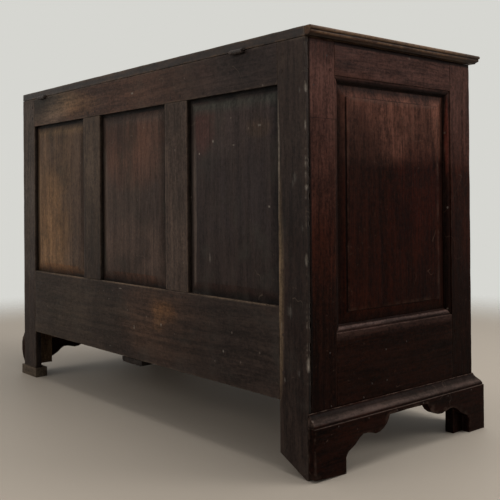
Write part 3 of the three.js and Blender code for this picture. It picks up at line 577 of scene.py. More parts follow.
back_board("back_stile_left", back_upright, [
    (-0.58, 0.52, 0.1, 0.4, (44, 35, 31), 0.6),
    (-0.58, 0.30, 0.1, 0.2, (34, 21, 17), 0.7),
    (-0.6, 0.1, 0.1, 0.26, (30, 22, 19), 0.75),
], [
    spot((corner_x, back_y - hollow_depth, 0.25), corner_line_reach, soot_and_shade, 0.95, 0.2),
    *back_stains(back_y, [
        # Pale lines along the stile's inner arris: wear and a painted highlight.
        (stile_edge, 0.37, 0.016, 0.25, (112, 92, 70), 0.9, 0.9),
        (stile_edge, 0.60, 0.0065, 0.13, (108, 98, 86), 0.8, 0.5),
    ]),
    *[
        spot((x, back_y, z), (*scratch_reach, high), tint(104, 98, 90), 0.55, 0.5)
        for x, z, high in stile_scratches
    ],
], chips=corner_scars, knocks=corner_knocks, cuts=[
    *corner_cuts,
    *[(1, back_y - inset) for inset in corner_depths],
    (0, corner_x + corner_inset),
    *[(0, stile_edge - inset) for inset in worn_and_lit_edge_insets],
    *[cut for x, _, _ in stile_scratches for cut in thin_cuts(0, x, scratch_half)],
])
back_board("back_stile_right", back_upright, [(0.58, 0.62, 0.1, 0.34, (84, 73, 64), 0.65)], [back_hollow_dirt_and_shade])

# Panels of the back
# Three plain oak panels, each bevelled at its margins and let into grooves in the frame.
# The far one has kept a golden tan, and the near one has gone almost black.
back_panel_look = oak(
    "back_panel_oak", "z", **(back_finish | {"bloom": (tint(66, 65, 58), 0.35)}), figure=1.5,
)
panel_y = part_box("back_panel_middle")[1].y
near_x, middle_x, far_x = panel_middles
panel_edge_depth = 0.006
panel_edge_reach = 0.0035
# Painted shade on the panels' margins and tongues, deep in the frame's grooves.
panel_edge_shade = spot((0, panel_y - panel_edge_depth, 0.5), (2, panel_edge_reach, 2), soot_and_shade, 0.8, 0.4)
tongue = 0.007
bevel_width = 0.025
bevel_start = 0.003
opening_half = (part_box("back_panel_middle")[1].x - middle_x) - tongue
field_half = opening_half - bevel_start - bevel_width
field_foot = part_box("back_panel_middle")[0].z + tongue + bevel_start + bevel_width
opening_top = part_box("back_panel_middle")[1].z - tongue
shadow_height = 0.0095
bevel_half = (opening_half - field_half) / 2
bevel_middle = 0.533
side_reach = 0.26
foot_reach = 0.19
top_reach = 0.6
bevel_reach = 0.012
cut_gap = 0.001
shadow_fade_share = 0.85


def bevel_bands(x, lit_left_hue, shaded_right_hue, low_hue, lit_top_hue):
    """The bevels of one panel: painted light on the left bevel and painted shade on the right one, a tone on
    the foot bevel, a lighter painted band on the top bevel, and a near-black painted shadow under the top
    rail.
    """
    rows = (
        # Painted light on the left bevel, painted shade on the right one.
        (x + field_half + bevel_half, bevel_middle, bevel_half, side_reach, lit_left_hue, 0.8, 0.2),
        (x - field_half - bevel_half, bevel_middle, bevel_half, side_reach, shaded_right_hue, 0.8, 0.2),
        (x, field_foot - bevel_half, foot_reach, bevel_half, low_hue, 0.8, 0.2),
        # A lighter painted band on the top bevel, below the painted shadow.
        (x, opening_top - 2 * shadow_height, top_reach, shadow_height, lit_top_hue, 0.8, 0.2),
        # A near-black painted shadow under the top rail.
        (x, opening_top, top_reach, shadow_height, (2, 2, 2), 1, 0.1),
    )
    return [
        spot((across, panel_y, up), (wide, bevel_reach, high), tint(*hue), strength, soft)
        for across, up, wide, high, hue, strength, soft in rows
    ]


def bevel_cuts(x):
    """Cuts just outside the field's edges and below the painted shadow at the top, so that the tones end
    sharply there.
    """
    return [
        (0, x + field_half + cut_gap), (0, x - field_half - cut_gap), (2, field_foot - cut_gap),
        (2, opening_top - shadow_height), (2, opening_top - shadow_fade_share * shadow_height),
    ]


back_board("back_panel_right", back_panel_look, [
    (far_x, 0.54, 0.3, 0.4, (92, 71, 54), 0.9, 0.4),
    (far_x + 0.06, 0.43, 0.12, 0.2, (126, 94, 64), 0.75),
    (far_x - 0.15, 0.5, 0.1, 0.4, (70, 56, 47), 0.8),
], [
    *bevel_bands(far_x, (120, 96, 72), (58, 46, 40), (110, 74, 46), (102, 80, 58)),
    panel_edge_shade,
], y=panel_y, cuts=bevel_cuts(far_x))
back_board("back_panel_middle", back_panel_look, [
    (middle_x, 0.54, 0.3, 0.4, (68, 55, 48), 0.75, 0.4),
    (middle_x, 0.67, 0.19, 0.13, (88, 59, 46), 0.7),
    (middle_x, 0.39, 0.19, 0.1, (82, 64, 54), 0.5),
], [
    *bevel_bands(middle_x, (92, 78, 68), (52, 40, 34), (80, 50, 36), (74, 60, 52)),
    panel_edge_shade,
], y=panel_y, cuts=bevel_cuts(middle_x))
panel_scars = [
    (-0.3256, 0.6507, 0.003, 0.004), (-0.3951, 0.6387, 0.005, 0.0015), (-0.276, 0.6259, 0.002, 0.003),
    (-0.478, 0.6739, 0.006, 0.003), (-0.5055, 0.5106, 0.004, 0.003), (-0.3116, 0.4001, 0.0015, 0.012),
]
panel_scar_depth = 0.0003
near_scars = back_scars(panel_y, panel_scar_depth, panel_scars)
back_board("back_panel_left", back_panel_look, [
    (near_x, 0.5, 0.3, 0.4, (46, 38, 36), 0.9, 0.4),
    (near_x, 0.70, 0.3, 0.09, (64, 52, 48), 0.6),
    (near_x, 0.37, 0.3, 0.1, (42, 32, 28), 0.6),
    (-0.288, 0.6885, 0.05, 0.07, (76, 42, 34), 0.5),
    (-0.475, 0.6685, 0.045, 0.022, (74, 58, 46), 0.7),
    (-0.483, 0.661, 0.012, 0.005, (26, 21, 19), 0.7),
], [
    *bevel_bands(near_x, (86, 74, 66), (36, 29, 27), (40, 26, 22), (62, 61, 54)),
    panel_edge_shade,
], y=panel_y, cuts=bevel_cuts(near_x), chips=near_scars)

# Pegs and nails of the case
# Riven oak pegs hold each tenon, cut off flush with the face and as dark as the wood round them.
# A few old iron nails have been driven in beside them.
peg_inset = 0.018
peg_size = {"radius": 0.0036, "depth": 0.003, "proud": 0.0001}
nail_size = {"radius": 0.0017, "depth": 0.003, "proud": 0.0002}
head_sides = 10
rail_peg_share = 0.3
muntin_peg_share = 0.28
least_head_share = 0.85
most_head_share = 1.12
iron_look, iron_tree = blank_look("old_iron")
iron_place = added(iron_tree, "ShaderNodeTexCoord").outputs["Object"]
rusting = noisy(iron_tree, iron_place, 240, 6, 0.65)
pitting = noisy(iron_tree, iron_place, 900, 4, 0.6)
iron_colour = ramped(
    iron_tree, rusting, (0.35, tint(24, 20, 18)), (0.55, tint(46, 34, 28)), (0.75, tint(84, 55, 40)),
)
iron_bump = added(iron_tree, "ShaderNodeBump", Height=pitting, Strength=0.6, Distance=0.0004)
iron_shader = added(
    iron_tree, "ShaderNodeBsdfPrincipled", Base_Color=iron_colour,
    Metallic=spread(iron_tree, rusting, 0.4, 0.65, 0.6, 0.05),
    Roughness=spread(iron_tree, rusting, 0.3, 0.7, 0.42, 0.8), Normal=iron_bump.outputs[0],
)
added(iron_tree, "ShaderNodeOutputMaterial", Surface=iron_shader.outputs[0])


def stud_tree():
    """Small round heads on points. Each faces its own way, and is turned and sized a little differently."""
    tree = bpy.data.node_groups.new("studs", "GeometryNodeTree")
    for name, kind in (
        ("Geometry", "NodeSocketGeometry"), ("Radius", "NodeSocketFloat"), ("Depth", "NodeSocketFloat"),
        ("Seed", "NodeSocketInt"), ("Finish", "NodeSocketMaterial"),
    ):
        tree.interface.new_socket(name=name, in_out="INPUT", socket_type=kind)
    tree.interface.new_socket(name="Geometry", in_out="OUTPUT", socket_type="NodeSocketGeometry")
    given = tree.nodes.new("NodeGroupInput").outputs
    head = added(
        tree, "GeometryNodeMeshCylinder", Vertices=head_sides, Radius=given["Radius"], Depth=given["Depth"],
    )
    facing = added(tree, "GeometryNodeInputNamedAttribute", {"data_type": "FLOAT_VECTOR"}, Name="facing")
    upright = added(tree, "FunctionNodeAlignRotationToVector", {"axis": "Z"}, Vector=facing.outputs[0])
    turn = added(tree, "FunctionNodeRandomValue", {"data_type": "FLOAT"}, Seed=given["Seed"])
    joined(tree, 0.0, turn.inputs[2])
    joined(tree, math.tau, turn.inputs[3])
    spin = added(tree, "ShaderNodeCombineXYZ", Z=turn.outputs[1])
    turned = added(tree, "FunctionNodeRotateRotation", {"rotation_space": "LOCAL"})
    joined(tree, upright.outputs[0], turned.inputs[0])
    joined(tree, spin.outputs[0], turned.inputs[1])
    size = added(tree, "FunctionNodeRandomValue", {"data_type": "FLOAT"}, Seed=given["Seed"])
    joined(tree, least_head_share, size.inputs[2])
    joined(tree, most_head_share, size.inputs[3])
    placed = added(
        tree, "GeometryNodeInstanceOnPoints", Points=given["Geometry"], Instance=head.outputs[0],
        Rotation=turned.outputs[0], Scale=size.outputs[1],
    )
    real = added(tree, "GeometryNodeRealizeInstances", Geometry=placed.outputs[0])
    finished = added(tree, "GeometryNodeSetMaterial", Geometry=real.outputs[0], Material=given["Finish"])
    out = tree.nodes.new("NodeGroupOutput")
    tree.links.new(finished.outputs[0], out.inputs[0])
    return tree


def studded(name, body, slot, look, spots, seed, radius, depth, proud, stains=()):
    """One mesh of round heads, each at a place and facing a way, with its top a little proud of the face."""
    points = bpy.data.meshes.new(name)
    ways = [Vector(way).normalized() for _, way in spots]
    points.from_pydata([Vector(at) + way * (proud - depth / 2) for (at, _), way in zip(spots, ways)], [], [])
    facing = points.attributes.new("facing", "FLOAT_VECTOR", "POINT")
    for place, way in enumerate(ways):
        facing.data[place].vector = way
    made = put(name, points)
    tree = stud_tree()
    modifier = made.modifiers.new("studs", "NODES")
    modifier.node_group = tree
    given = {"Radius": radius, "Depth": depth, "Seed": seed, "Finish": look}
    for item in tree.interface.items_tree:
        if item.in_out == "INPUT" and item.name in given:
            modifier[item.identifier] = given[item.name]
    bpy.context.view_layer.update()
    done = made.evaluated_get(bpy.context.evaluated_depsgraph_get())
    plain = bpy.data.meshes.new_from_object(done)
    made.modifiers.clear()
    made.data = plain
    plain.name = name
    stain = plain.attributes.new("stain", "FLOAT_COLOR", "POINT")
    for place, vertex in enumerate(plain.vertices):
        stain.data[place].color = stain_and_light_at(vertex.co, stains)
    plain.shade_smooth()
    plain.set_sharp_from_angle(angle=sharp_turn)
    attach(made, body)


def tenon_pegs(frame_nodes, across):
    """Two pegs through each tenon of some rails and muntins: places along the face and up."""
    places = []
    for node, way in frame_nodes:
        low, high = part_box(node)
        near, far = low[across], high[across]
        if way == "rail":
            inset = rail_peg_share * (high.z - low.z)
            heights = (low.z + inset, high.z - inset)
            places += [(end, height) for end in (near + peg_inset, far - peg_inset) for height in heights]
        else:
            inset = muntin_peg_share * (far - near)
            sides = (near + inset, far - inset)
            places += [(side, end) for side in sides for end in (low.z + peg_inset, high.z - peg_inset)]
    return places


peg_stains = [spot((0, back_y, 0.5), (0.9, 0.1, 0.9), tint(50, 41, 36), 0.6)]
back_peg_spots = [
    ((x, back_y, z), (0, 1, 0)) for x, z in
    tenon_pegs([("back_top_rail", "rail"), ("back_bottom_rail", "rail")], 0)
    + tenon_pegs([("back_muntin_left", "muntin"), ("back_muntin_right", "muntin")], 0)
]
studded("back_pegs", "case", "oak_back", back_upright, back_peg_spots, 3, **peg_size, stains=peg_stains)

# Frames of the two ends
# Each has two stiles, two rails and a run moulding round its one panel, all in polished oak.
# The upper part is lighter and redder, partly faded and partly a painted reflection of the room, and years of
# wax have turned the lower part red-black.
end_finish = {
    "tones": (tint(8, 2, 1), tint(25, 9, 4), tint(42, 17, 9)), "grime": (tint(10, 5, 4), 0.45),
    "bloom": (tint(50, 32, 26), 0.06), "worn_and_highlight": (tint(92, 70, 58), 0.5),
    "sheen": 0.02, "rough": (0.35, 0.5), "contrast": 1.5,
}
end_upright = oak("end_oak_upright", "z", **end_finish)
end_level = oak("end_oak_level", "y", **end_finish)
fade_and_reflection = tint(74, 50, 43)
# A painted shadow under the lid's overhang, along the top of the ends.
lid_shadow = 0.0085
lid_shadow_share = 0.8
lid_shadow_cuts = [(2, case_high - lid_shadow), (2, case_high - lid_shadow_share * lid_shadow)]
end_hollow_depth = 0.0095
end_hollow_reach = 0.0075
crack_z = 0.6785
crack_half = 0.0009
lap_insets = (0.006, 0.002)
rail_hollow_heights = (0.0125, 0.0145)
roll_depth = 0.0065
roll_half = 0.0026
roll_reach = 0.0029
quirk_depth = 0.0152
quirk_half = 0.0012
quirk_reach = 0.0013
seam_y = 0.0444
seam_half = 0.0008
field_inset = 0.030
field_line_gaps = (0.0015, 0.0032)
step_depth = 0.002
step_reach = 0.0019
end_nail_places = [
    (0.208, 0.799), (0.244, 0.740), (0.206, 0.231), (0.086, 0.154), (0.04, 0.154), (0.111, 0.13),
    (0.203, 0.129), (-0.024, 0.225), (0.042, 0.217),
]


def end_stains(x, inwards, high, reach, soft):
    """The upper part, lighter from fading and from a painted reflection, the dark wax below it, painted shade
    in the run moulding's hollow, and a painted shadow under the lid.
    """
    return [
        # Redder and lighter towards the top: fading, and a painted reflection of the room.
        spot((x, 0, 0.95), (0.12, 1.6, 0.75), tint(62, 29, 19), 0.75, 0.8),
        spot((x, 0, 0.95), (0.12, 1.6, high), fade_and_reflection, reach, soft),
        spot((x, 0, 0.10), (0.12, 0.8, 0.28), tint(23, 10, 6), 0.85, 0.4),
        # Painted shade in the run moulding's hollow.
        spot((x + inwards * end_hollow_depth, 0, 0.5), (end_hollow_reach, 2, 2), tint(10, 5, 4), 0.85, 0.35),
        # The painted shadow under the lid.
        spot((x, 0, case_high), (0.05, 3, lid_shadow), tint(6, 4, 4), 0.95, 0.3),
    ]


def end_board(member, look, **details):
    """A board of the end in hand. Its inner side is bare."""
    worked(f"{side}_end_{member}", "case", look, "oak_side", inner=to_middle, **details)


for side, inwards in (("left", 1), ("right", -1)):
    end_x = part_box(f"{side}_end_top_rail")[0 if side == "left" else 1].x
    panel_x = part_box(f"{side}_end_panel")[0 if side == "left" else 1].x
    to_middle = (inwards, 0, 0)
    gradual = end_stains(end_x, inwards, 0.5, 0.95, 1)
    sudden = end_stains(end_x, inwards, 0.358, 0.95, 0.35)
    rear_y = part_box(f"{side}_end_rear_stile")[1].y
    end_board(
        "rear_stile", end_upright,
        cuts=[
            *thin_cuts(2, crack_z, crack_half), *lid_shadow_cuts,
            *[(1, rear_y - inset) for inset in lap_insets],
        ],
        stains=[
            *gradual,
            # Lighter on the top of the rear stile: a painted reflection of the room.
            spot((end_x, 0.2, 0.76), (0.05, 0.2, 0.0815), tint(84, 55, 47), 0.55, 0.3),
            spot((end_x, 0.22, crack_z), (0.02, 0.06, crack_half), soot_and_shade, 0.9, 0.3),
            spot((end_x, rear_y, 0.3), (0.02, 0.006, 0.62), soot_and_shade, 0.95, 0.2),
        ],
    )
    front_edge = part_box(f"{side}_end_front_stile")[1].y
    gleam_place = (end_x + inwards * 0.006, front_edge - 0.008, 0.66)
    end_board(
        "front_stile", end_upright, cuts=lid_shadow_cuts,
        stains=[
            *sudden,
            spot((end_x, -0.2, 0.22), (0.05, 0.12, 0.3), tint(16, 6, 3), 0.75),
            spot(gleam_place, (0.007, 0.006, 0.1), tint(88, 42, 32), 0.8, 0.3),
        ],
    )
    rail_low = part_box(f"{side}_end_top_rail")[0].z
    end_board(
        "top_rail", end_level, dusty=0.2,
        cuts=[*[(2, rail_low + height) for height in rail_hollow_heights], *lid_shadow_cuts],
        # Painted shade under the top rail's moulding, which faces down.
        stains=[*sudden, spot((end_x + inwards * 0.009, 0, rail_low), (0.0085, 2, 0.014), soot_and_shade, 0.9, 0.2)],
    )
    moulding_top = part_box(f"{side}_end_bottom_rail")[1].z
    roll_z = moulding_top - roll_depth
    quirk_z = moulding_top - quirk_depth
    end_board(
        "bottom_rail", end_level, dusty=0.1,
        cuts=[*thin_cuts(2, roll_z, roll_half), *thin_cuts(2, quirk_z, quirk_half)],
        stains=[
            *gradual,
            spot((end_x, 0, moulding_top), (0.03, 2, 0.0175), tint(28, 12, 8), 0.85, 0.3),
            # Painted highlights: a band on the moulding's upper roll, and a thin line at its quirk.
            spot((end_x, 0, roll_z), (0.03, 2, roll_reach), tint(90, 72, 66), 0.85, 0.3),
            spot((end_x, 0, quirk_z), (0.03, 2, quirk_reach), tint(74, 56, 50), 0.8, 0.3),
        ],
    )
    panel_low, panel_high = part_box(f"{side}_end_panel")
    field_low = panel_low + Vector((0, field_inset, field_inset))
    field_high = panel_high - Vector((0, field_inset, field_inset))
    field_cuts = [
        (axis, at + way * apart)
        for axis in (1, 2) for at, way in ((field_low[axis], -1), (field_high[axis], 1))
        for apart in field_line_gaps
    ]
    step_x = panel_x + inwards * step_depth
    # Painted shade on the field's step faces round its edges.
    field_lines = [
        spot((step_x, field_low.y, 0.5), (step_reach, 0.003, 0.26), soot_and_shade, 0.9, 0.2),
        spot((step_x, field_high.y, 0.5), (step_reach, 0.003, 0.26), soot_and_shade, 0.98, 0.2),
        spot((step_x, 0, field_low.z), (step_reach, 0.17, 0.0018), soot_and_shade, 0.6, 0.2),
        spot((step_x, 0, field_high.z), (step_reach, 0.17, 0.0018), soot_and_shade, 0.6, 0.2),
    ]
    end_board(
        "panel", end_upright, dusty=0.12, pitch=0.013,
        cuts=[*thin_cuts(1, seam_y, seam_half), *field_cuts],
        stains=[
            # Lighter over the upper part of the panel: fading, and a painted reflection of the room.
            spot((panel_x, 0, 0.95), (0.12, 1.6, 0.352), tint(104, 67, 54), 0.95, 0.35),
            spot((panel_x, seam_y + 0.5, 0.56), (0.05, 0.5, 1.6), tint(40, 22, 16), 0.45, 0.1),
            spot((panel_x, 0.14, 0.60), (0.05, 0.0965, 0.12), tint(34, 18, 13), 0.6, 0.35),
            spot((panel_x, 0, 0.291), (0.05, 0.2, 0.0115), tint(60, 26, 16), 0.75, 0.3),
            spot((panel_x, -0.1, 0.5), (0.05, 0.13, 0.16), tint(58, 18, 10), 0.45, 0.6),
            spot((panel_x, 0, 0.20), (0.12, 0.8, 0.40), tint(34, 9, 3), 0.75, 0.4),
            spot((panel_x, seam_y, 0.5), (0.02, seam_half, 0.3), soot_and_shade, 0.8, 0.3),
            # Painted shade on the panel's margin, deep beside the grooves.
            spot((panel_x + inwards * 0.007, 0, 0.5), (0.0035, 2, 2), tint(13, 7, 5), 0.7, 0.4),
            *field_lines,
        ],
    )
    end_rails = [(f"{side}_end_top_rail", "rail"), (f"{side}_end_bottom_rail", "rail")]
    end_peg_spots = [
        ((end_x, y, z), (-inwards, 0, 0)) for y, z in tenon_pegs(end_rails, 1)
    ]
    studded(
        f"{side}_end_pegs", "case", "oak_side", end_upright, end_peg_spots, 5, **peg_size, stains=gradual,
    )
    end_nail_spots = [((end_x, y, z), (-inwards, 0, 0)) for y, z in end_nail_places]
    studded(f"{side}_end_nails", "case", "iron", iron_look, end_nail_spots, 11, **nail_size)

# Frame and panels of the front
# The same work as the ends, with three fielded panels over two drawer openings.
# A short divider stands between the drawers.
front_finish = end_finish | {"worn_and_highlight": (tint(64, 42, 33), 0.3)}
front_upright = oak("front_oak_upright", "z", **front_finish)
front_level = oak("front_oak_level", "x", **front_finish)
front_hollow_depth = 0.0105
front_hollow_reach = 0.0065
front_step_depth = 0.012
front_step_reach = 0.0035
to_back = (0, 1, 0)
front_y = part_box("front_top_rail")[0].y
# Lighter towards the top and darker towards the bottom, with painted shade in the run moulding's hollow.
front_stains = [
    spot((0, front_y, 0.90), (3, 0.12, 0.5), tint(66, 42, 34), 0.8, 0.8),
    spot((0, front_y, 0.10), (3, 0.12, 0.25), tint(36, 18, 13), 0.6, 0.6),
    spot((0, front_y + front_hollow_depth, 0.5), (3, front_hollow_reach, 2), tint(11, 6, 5), 0.7, 0.4),
]
for member in ("stile_left", "stile_right", "muntin_left", "muntin_right"):
    worked(f"front_{member}", "case", front_upright, "oak_side", inner=to_back, stains=front_stains)
worked("drawer_divider", "case", front_upright, "oak_side", stains=front_stains)
for member in ("top_rail", "middle_rail", "bottom_rail"):
    worked(f"front_{member}", "case", front_level, "oak_side", inner=to_back, stains=front_stains, dusty=0.4)
for member in ("left", "middle", "right"):
    worked(f"front_panel_{member}", "case", front_upright, "oak_side", inner=to_back, dusty=0.4, stains=[
        *front_stains[:2],
        # Painted shade on the panels' margins, deep beside the grooves.
        spot((0, front_y + front_step_depth, 0.5), (3, front_step_reach, 2), tint(13, 7, 5), 0.7, 0.4),
    ])
front_peg_spots = [
    ((x, front_y, z), (0, -1, 0)) for x, z in
    tenon_pegs([(f"front_{name}_rail", "rail") for name in ("top", "middle", "bottom")], 0)
    + tenon_pegs([("front_muntin_left", "muntin"), ("front_muntin_right", "muntin")], 0)
]
studded(
    "front_pegs", "case", "oak_side", front_upright, front_peg_spots, 7, **peg_size, stains=front_stains,
)

# Floor of the chest, bearer and runners
# Plain sawn oak that nobody polished: pale brown, dry and a little dusty.
# The middle bearer's rear end shows under the back, painted dark.
inner_finish = {
    "tones": (tint(62, 46, 31), tint(104, 80, 56), tint(136, 110, 80)), "grime": (tint(48, 37, 28), 0.55),
    "bloom": (tint(126, 112, 92), 0.3), "worn_and_highlight": (tint(150, 124, 94), 0.5), "sheen": 0.2, "rough": (0.7, 0.9),
}
inner_long = oak("inner_oak_long", "x", **inner_finish)
inner_deep = oak("inner_oak_deep", "y", **inner_finish)
bearer_look = oak("bearer_oak", "y", **(back_finish | {"worn_and_highlight": (tint(60, 48, 40), 0.3)}))
bearer_end = 0.03
worked("chest_floor", "case", inner_long, "oak_inner", pitch=0.06)
bearer_darkening = spot((0, back_y, 0.12), (0.3, 0.09, 0.3), tint(26, 20, 17), 1, 0.1)
bearer_cuts = [(1, back_y - bearer_end)]
worked(
    "middle_bearer", "case", bearer_look, "oak_inner", pitch=0.04, cuts=bearer_cuts, stains=[bearer_darkening],
)
worked("runner_left", "case", inner_deep, "oak_inner", pitch=0.05)
worked("runner_right", "case", inner_deep, "oak_inner", pitch=0.05)

# Plinth and bracket feet
# An oak board round three sides, cut into shaped bracket feet, with an ogee moulding on top.
# It is glued and nailed to the frames, mitred at the front corners, and worn at the far rear foot.
plinth_finish = end_finish | {"worn_and_highlight": (tint(96, 78, 68), 0.75)}
plinth_deep = oak("plinth_oak_deep", "y", **plinth_finish)
plinth_long = oak("plinth_oak_long", "x", **plinth_finish)
plinth_low, plinth_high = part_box("plinth_front")
arris_depth = 0.0262
arris_reach = 0.0012
# Darker towards the bottom; painted shade in the moulding's cove, a painted highlight on its roll, painted
# shade in its quirk, and a pale line of wear and painted highlight on its arris.
plinth_stains = [
    spot((0, 0, 0.0), (3, 3, 0.12), tint(16, 8, 6), 0.7, 0.4),
    spot((0, 0, plinth_high.z - 0.006), (3, 3, 0.0055), tint(18, 9, 7), 0.85, 0.3),
    spot((0, 0, plinth_high.z - 0.0165), (3, 3, 0.0046), tint(76, 62, 56), 0.75, 0.5),
    spot((0, 0, plinth_high.z - 0.0237), (3, 3, 0.0015), soot_and_shade, 0.9, 0.3),
    spot((0, 0, plinth_high.z - arris_depth), (3, 3, arris_reach), tint(68, 56, 50), 0.6, 0.3),
]
plinth_cuts = thin_cuts(2, plinth_high.z - arris_depth, arris_reach)
for member, look in (("left", plinth_deep), ("right", plinth_deep), ("front", plinth_long)):
    worked(f"plinth_{member}", "case", look, "oak_side", stains=plinth_stains, cuts=plinth_cuts, dusty=0.35)
nail_height = 0.0945
end_nail_start = 0.05
end_nail_pitch = 0.086
front_nail_start = 0.06
front_nail_pitch = 0.115
end_nails = [plinth_low.y + end_nail_start + end_nail_pitch * step for step in range(6)]
front_nails = [plinth_low.x + front_nail_start + front_nail_pitch * step for step in range(11)]


def edge_nails(low, high, up):
    """Nails at one height along both ends and the front."""
    return (
        [((low.x, y, up), (-1, 0, 0)) for y in end_nails]
        + [((high.x, y, up), (1, 0, 0)) for y in end_nails]
        + [((x, low.y, up), (0, -1, 0)) for x in front_nails]
    )


plinth_nail_spots = edge_nails(plinth_low, plinth_high, nail_height)
studded("plinth_nails", "case", "iron", iron_look, plinth_nail_spots, 13, **nail_size)
worked("rear_foot_block", "case", back_level, "oak_back", dusty=0.5, stains=[
    spot((0.6, back_y, 0.014), (0.12, 0.08, 0.05), tint(88, 76, 62), 0.85, 0.3),
])

# Lid
# One wide oak board, hinged at the back, with mouldings nailed on its ends and its front.
# Its top and edges are rubbed to a lighter brown, with a painted highlight on the arrises, and the end
# mouldings carry a painted highlight on the top roll and painted shade in the quirk and underneath.
lid_finish = {
    "tones": (tint(36, 24, 16), tint(70, 48, 34), tint(100, 73, 50)), "grime": (tint(28, 20, 15), 0.5),
    "bloom": (tint(84, 66, 50), 0.25), "worn_and_highlight": (tint(122, 94, 68), 0.6),
}
lid_long = oak("lid_oak_long", "x", **lid_finish, sheen=0.15, rough=(0.35, 0.55), figure=1.6)
lid_deep = oak("lid_oak_deep", "y", **lid_finish, sheen=0.08, rough=(0.4, 0.6))
lid_low, lid_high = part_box("lid_board")
worked("lid_board", "lid", lid_long, "oak_lid", pitch=0.022, stains=[
    spot((0, back_y, lid_low.z), (3, 0.02, 0.03), tint(40, 33, 30), 0.95, 0.3),
])
worked("lid_front_moulding", "lid", lid_long, "oak_lid")
for side in ("left", "right"):
    moulding_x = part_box(f"lid_{side}_moulding")[0 if side == "left" else 1].x
    worked(f"lid_{side}_moulding", "lid", lid_deep, "oak_lid", stains=[
        # A painted highlight on the top roll, and near-black painted shade in the quirk and along the
        # underside.
        spot((moulding_x, 0.05, lid_high.z - 0.004), (0.03, 0.3, 0.008), tint(104, 78, 54), 0.6),
        spot((moulding_x, 0, lid_low.z + 0.0075), (0.05, 3, 0.0035), tint(64, 42, 32), 0.8, 0.4),
        spot((moulding_x, -0.31, lid_low.z), (0.05, 0.16, 0.05), tint(30, 22, 18), 0.9, 0.4),
        spot((moulding_x, 0, lid_low.z + 0.0107), (0.05, 3, 0.0013), tint(14, 9, 7), 0.9, 0.3),
        spot((moulding_x, 0, lid_low.z), (0.05, 3, 0.0045), tint(14, 11, 10), 0.95, 0.3),
    ])

lid_nail_height = (lid_low.z + 3 * lid_high.z) / 4
lid_edge_low, lid_edge_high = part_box("lid_front_moulding")
lid_nail_spots = edge_nails(lid_edge_low, lid_edge_high, lid_nail_height)
studded("lid_nails", "lid", "iron", iron_look, lid_nail_spots, 17, **nail_size)

# Hinges
# Two iron butt hinges, each with three knuckles on a pin behind the lid.
# They are rusted brown-black, and their leaves are let into the rail and the lid and screwed down.
screw_size = {"radius": 0.0028, "depth": 0.0015, "proud": 0.0002}
screw_spacing = 0.026
screw_inset = 0.006
metal_edges = {"arris": 0.0003, "waver": 0.0001, "rub": 0.0001}
case_screws = []
lid_screws = []
for side in ("left", "right"):
    leaf_low, leaf_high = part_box(f"{side}_hinge_case_leaf")
    screw_middle = (leaf_low.x + leaf_high.x) / 2
    screw_y = leaf_low.y + screw_inset
    for screw_x in (screw_middle - screw_spacing / 2, screw_middle + screw_spacing / 2):
        case_screws.append(((screw_x, screw_y, case_high), (0, 0, 1)))
        lid_screws.append(((screw_x, screw_y, lid_low.z), (0, 0, -1)))
    worked(f"{side}_hinge_case_leaf", "case", iron_look, "iron", **metal_edges)
    worked(f"{side}_hinge_lid_leaf", "lid", iron_look, "iron", **metal_edges)
studded("case_hinge_screws", "case", "iron", iron_look, case_screws, 19, **screw_size)
studded("lid_hinge_screws", "lid", "iron", iron_look, lid_screws, 23, **screw_size)

# Drawers
# Each has a polished oak front, dovetailed to two thin sides, and a bottom slid into grooves.
# Everything behind the front is plain inner oak.
for side in ("left", "right"):
    body = f"{side}_drawer"
    worked(f"{side}_drawer_front", body, front_level, "oak_side", inner=to_back, stains=front_stains)
    for member in ("inner", "outer"):
        worked(f"{side}_drawer_{member}_side", body, inner_deep, "oak_inner", pitch=0.03, arris=0.0004)
    worked(f"{side}_drawer_back", body, inner_long, "oak_inner", pitch=0.03)
    worked(f"{side}_drawer_bottom", body, inner_deep, "oak_inner", pitch=0.05)

# Handles
# A cast brass plate with two posts on each drawer, and a bail that hangs between them.
# The brass is dull and brown in its hollows, and rubbed bright where hands touch it.
brass_look, brass_tree = blank_look("handle_brass")
brass_place = added(brass_tree, "ShaderNodeTexCoord").outputs["Object"]
tarnish = noisy(brass_tree, brass_place, 90, 6, 0.62, 0.3)
brass_wear = painted(brass_tree, "wear_and_highlight")["Fac"]
brass_colour = ramped(
    brass_tree, tarnish, (0.3, tint(84, 62, 34)), (0.5, tint(140, 106, 54)), (0.72, tint(176, 140, 78)),
)
brass_rubbed = times(brass_tree, brass_wear, 0.6)
brass_colour = mixed(brass_tree, brass_rubbed, brass_colour, tint(206, 172, 104))
brass_pits = noisy(brass_tree, brass_place, 420, 3)
brass_bump = added(brass_tree, "ShaderNodeBump", Height=brass_pits, Strength=0.3, Distance=0.0003)
brass_shader = added(
    brass_tree, "ShaderNodeBsdfPrincipled", Base_Color=brass_colour, Metallic=1,
    Roughness=spread(brass_tree, tarnish, 0.3, 0.75, 0.5, 0.28), Normal=brass_bump.outputs[0],
)
added(brass_tree, "ShaderNodeOutputMaterial", Surface=brass_shader.outputs[0])
for side in ("left", "right"):
    worked(f"{side}_handle_plate", f"{side}_drawer", brass_look, "brass", **metal_edges)
    worked(
        f"{side}_handle_bail", f"{side}_bail", brass_look, "brass", arris=0.0002, waver=0.0, rub=0.0,
        pitch=0.02,
    )

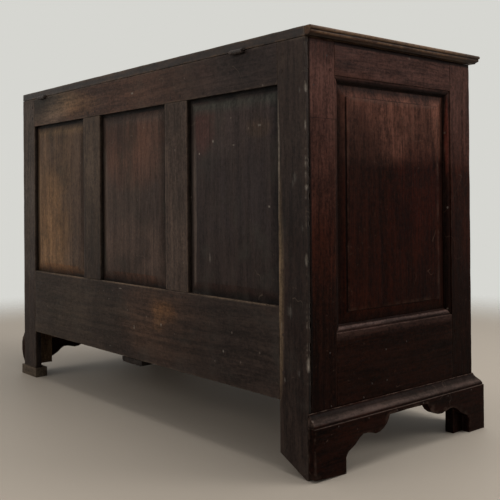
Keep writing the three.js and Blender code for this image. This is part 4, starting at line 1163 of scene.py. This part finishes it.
# Lock escutcheon
# A small cast brass shield round the keyhole, in the middle of the front's top rail.
# It is pinned to the wood, and the iron lock shows black through the hole.
shield_lift = 0.012
shield_middle = (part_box("front_top_rail")[0].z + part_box("front_top_rail")[1].z) / 2 + shield_lift
shield_thickness = 0.0014
shield_bevel = 0.0006
face_shares = (0.93, 0.95)
lock_thickness = 0.0008
lock_overlap = 0.0002
pin_size = {"radius": 0.0011, "depth": 0.001, "proud": 0.0004}
pin_heights = (0.0185, -0.0155)
shield_outline = [
    (0, 0.026), (0.006, 0.0205), (0.0125, 0.0215), (0.0155, 0.016), (0.0125, 0.009), (0.016, 0.001),
    (0.0145, -0.009), (0.009, -0.0165), (0.004, -0.019), (0, -0.026),
]
lock_outline = [(0, 0.009), (0.006, 0.009), (0.006, -0.011), (0, -0.011)]
key_radius = 0.0032
key_slot = 0.0014
key_outline = [
    (key_radius * math.sin(math.radians(turn)), 0.003 + key_radius * math.cos(math.radians(turn)))
    for turn in range(0, 160, 22)
] + [(key_slot, -0.002), (key_slot * 1.5, -0.009), (0, -0.009)]


def mirrored(half_outline):
    """A whole outline from its right half, which starts and ends on the middle line."""
    return half_outline + [(-x, z) for x, z in half_outline[-2:0:-1]]


def shield_ring(form, outline, y):
    """One loop of points on the front, at a given depth."""
    return [form.verts.new((x, y, shield_middle + z)) for x, z in outline]


def walled(form, first, second):
    """A band of faces between two loops of the same length."""
    for place, point in enumerate(first):
        after = (place + 1) % len(first)
        form.faces.new((point, first[after], second[after], second[place]))


def plate_form(outline, hole, face_y, foot_y):
    """A flat plate with a bevelled rim and, if asked for, a hole through it."""
    form = bmesh.new()
    whole = mirrored(outline)
    rim = shield_ring(form, whole, face_y + shield_bevel)
    face = shield_ring(form, [(x * face_shares[0], z * face_shares[1]) for x, z in whole], face_y)
    foot = shield_ring(form, whole, foot_y)
    walled(form, foot, rim)
    walled(form, rim, face)
    loops = [[vertex.co for vertex in face]]
    corners = list(face)
    if hole:
        inner = shield_ring(form, mirrored(hole), face_y)
        deep = shield_ring(form, mirrored(hole), foot_y)
        walled(form, inner, deep)
        loops.append([vertex.co for vertex in inner])
        corners += inner
    for triangle in tessellate_polygon(loops):
        form.faces.new([corners[place] for place in triangle])
    bmesh.ops.recalc_face_normals(form, faces=form.faces[:])
    return form


shield_face = front_y - shield_thickness
for name, outline, hole, face_y, foot_y, look, slot in (
    ("lock_escutcheon", shield_outline, key_outline, shield_face, front_y, brass_look, "brass"),
    ("lock_face", lock_outline, None, front_y - lock_thickness, front_y + lock_overlap, iron_look, "iron"),
):
    form = plate_form(outline, hole, face_y, foot_y)
    mesh = bpy.data.meshes.new(name)
    form.to_mesh(mesh)
    form.free()
    mesh.materials.append(look)
    made = put(name, mesh)
    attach(made, "case")
shield_pins = [((0, shield_face, shield_middle + height), (0, -1, 0)) for height in pin_heights]
studded("escutcheon_pins", "case", "brass", brass_look, shield_pins, 29, **pin_size)
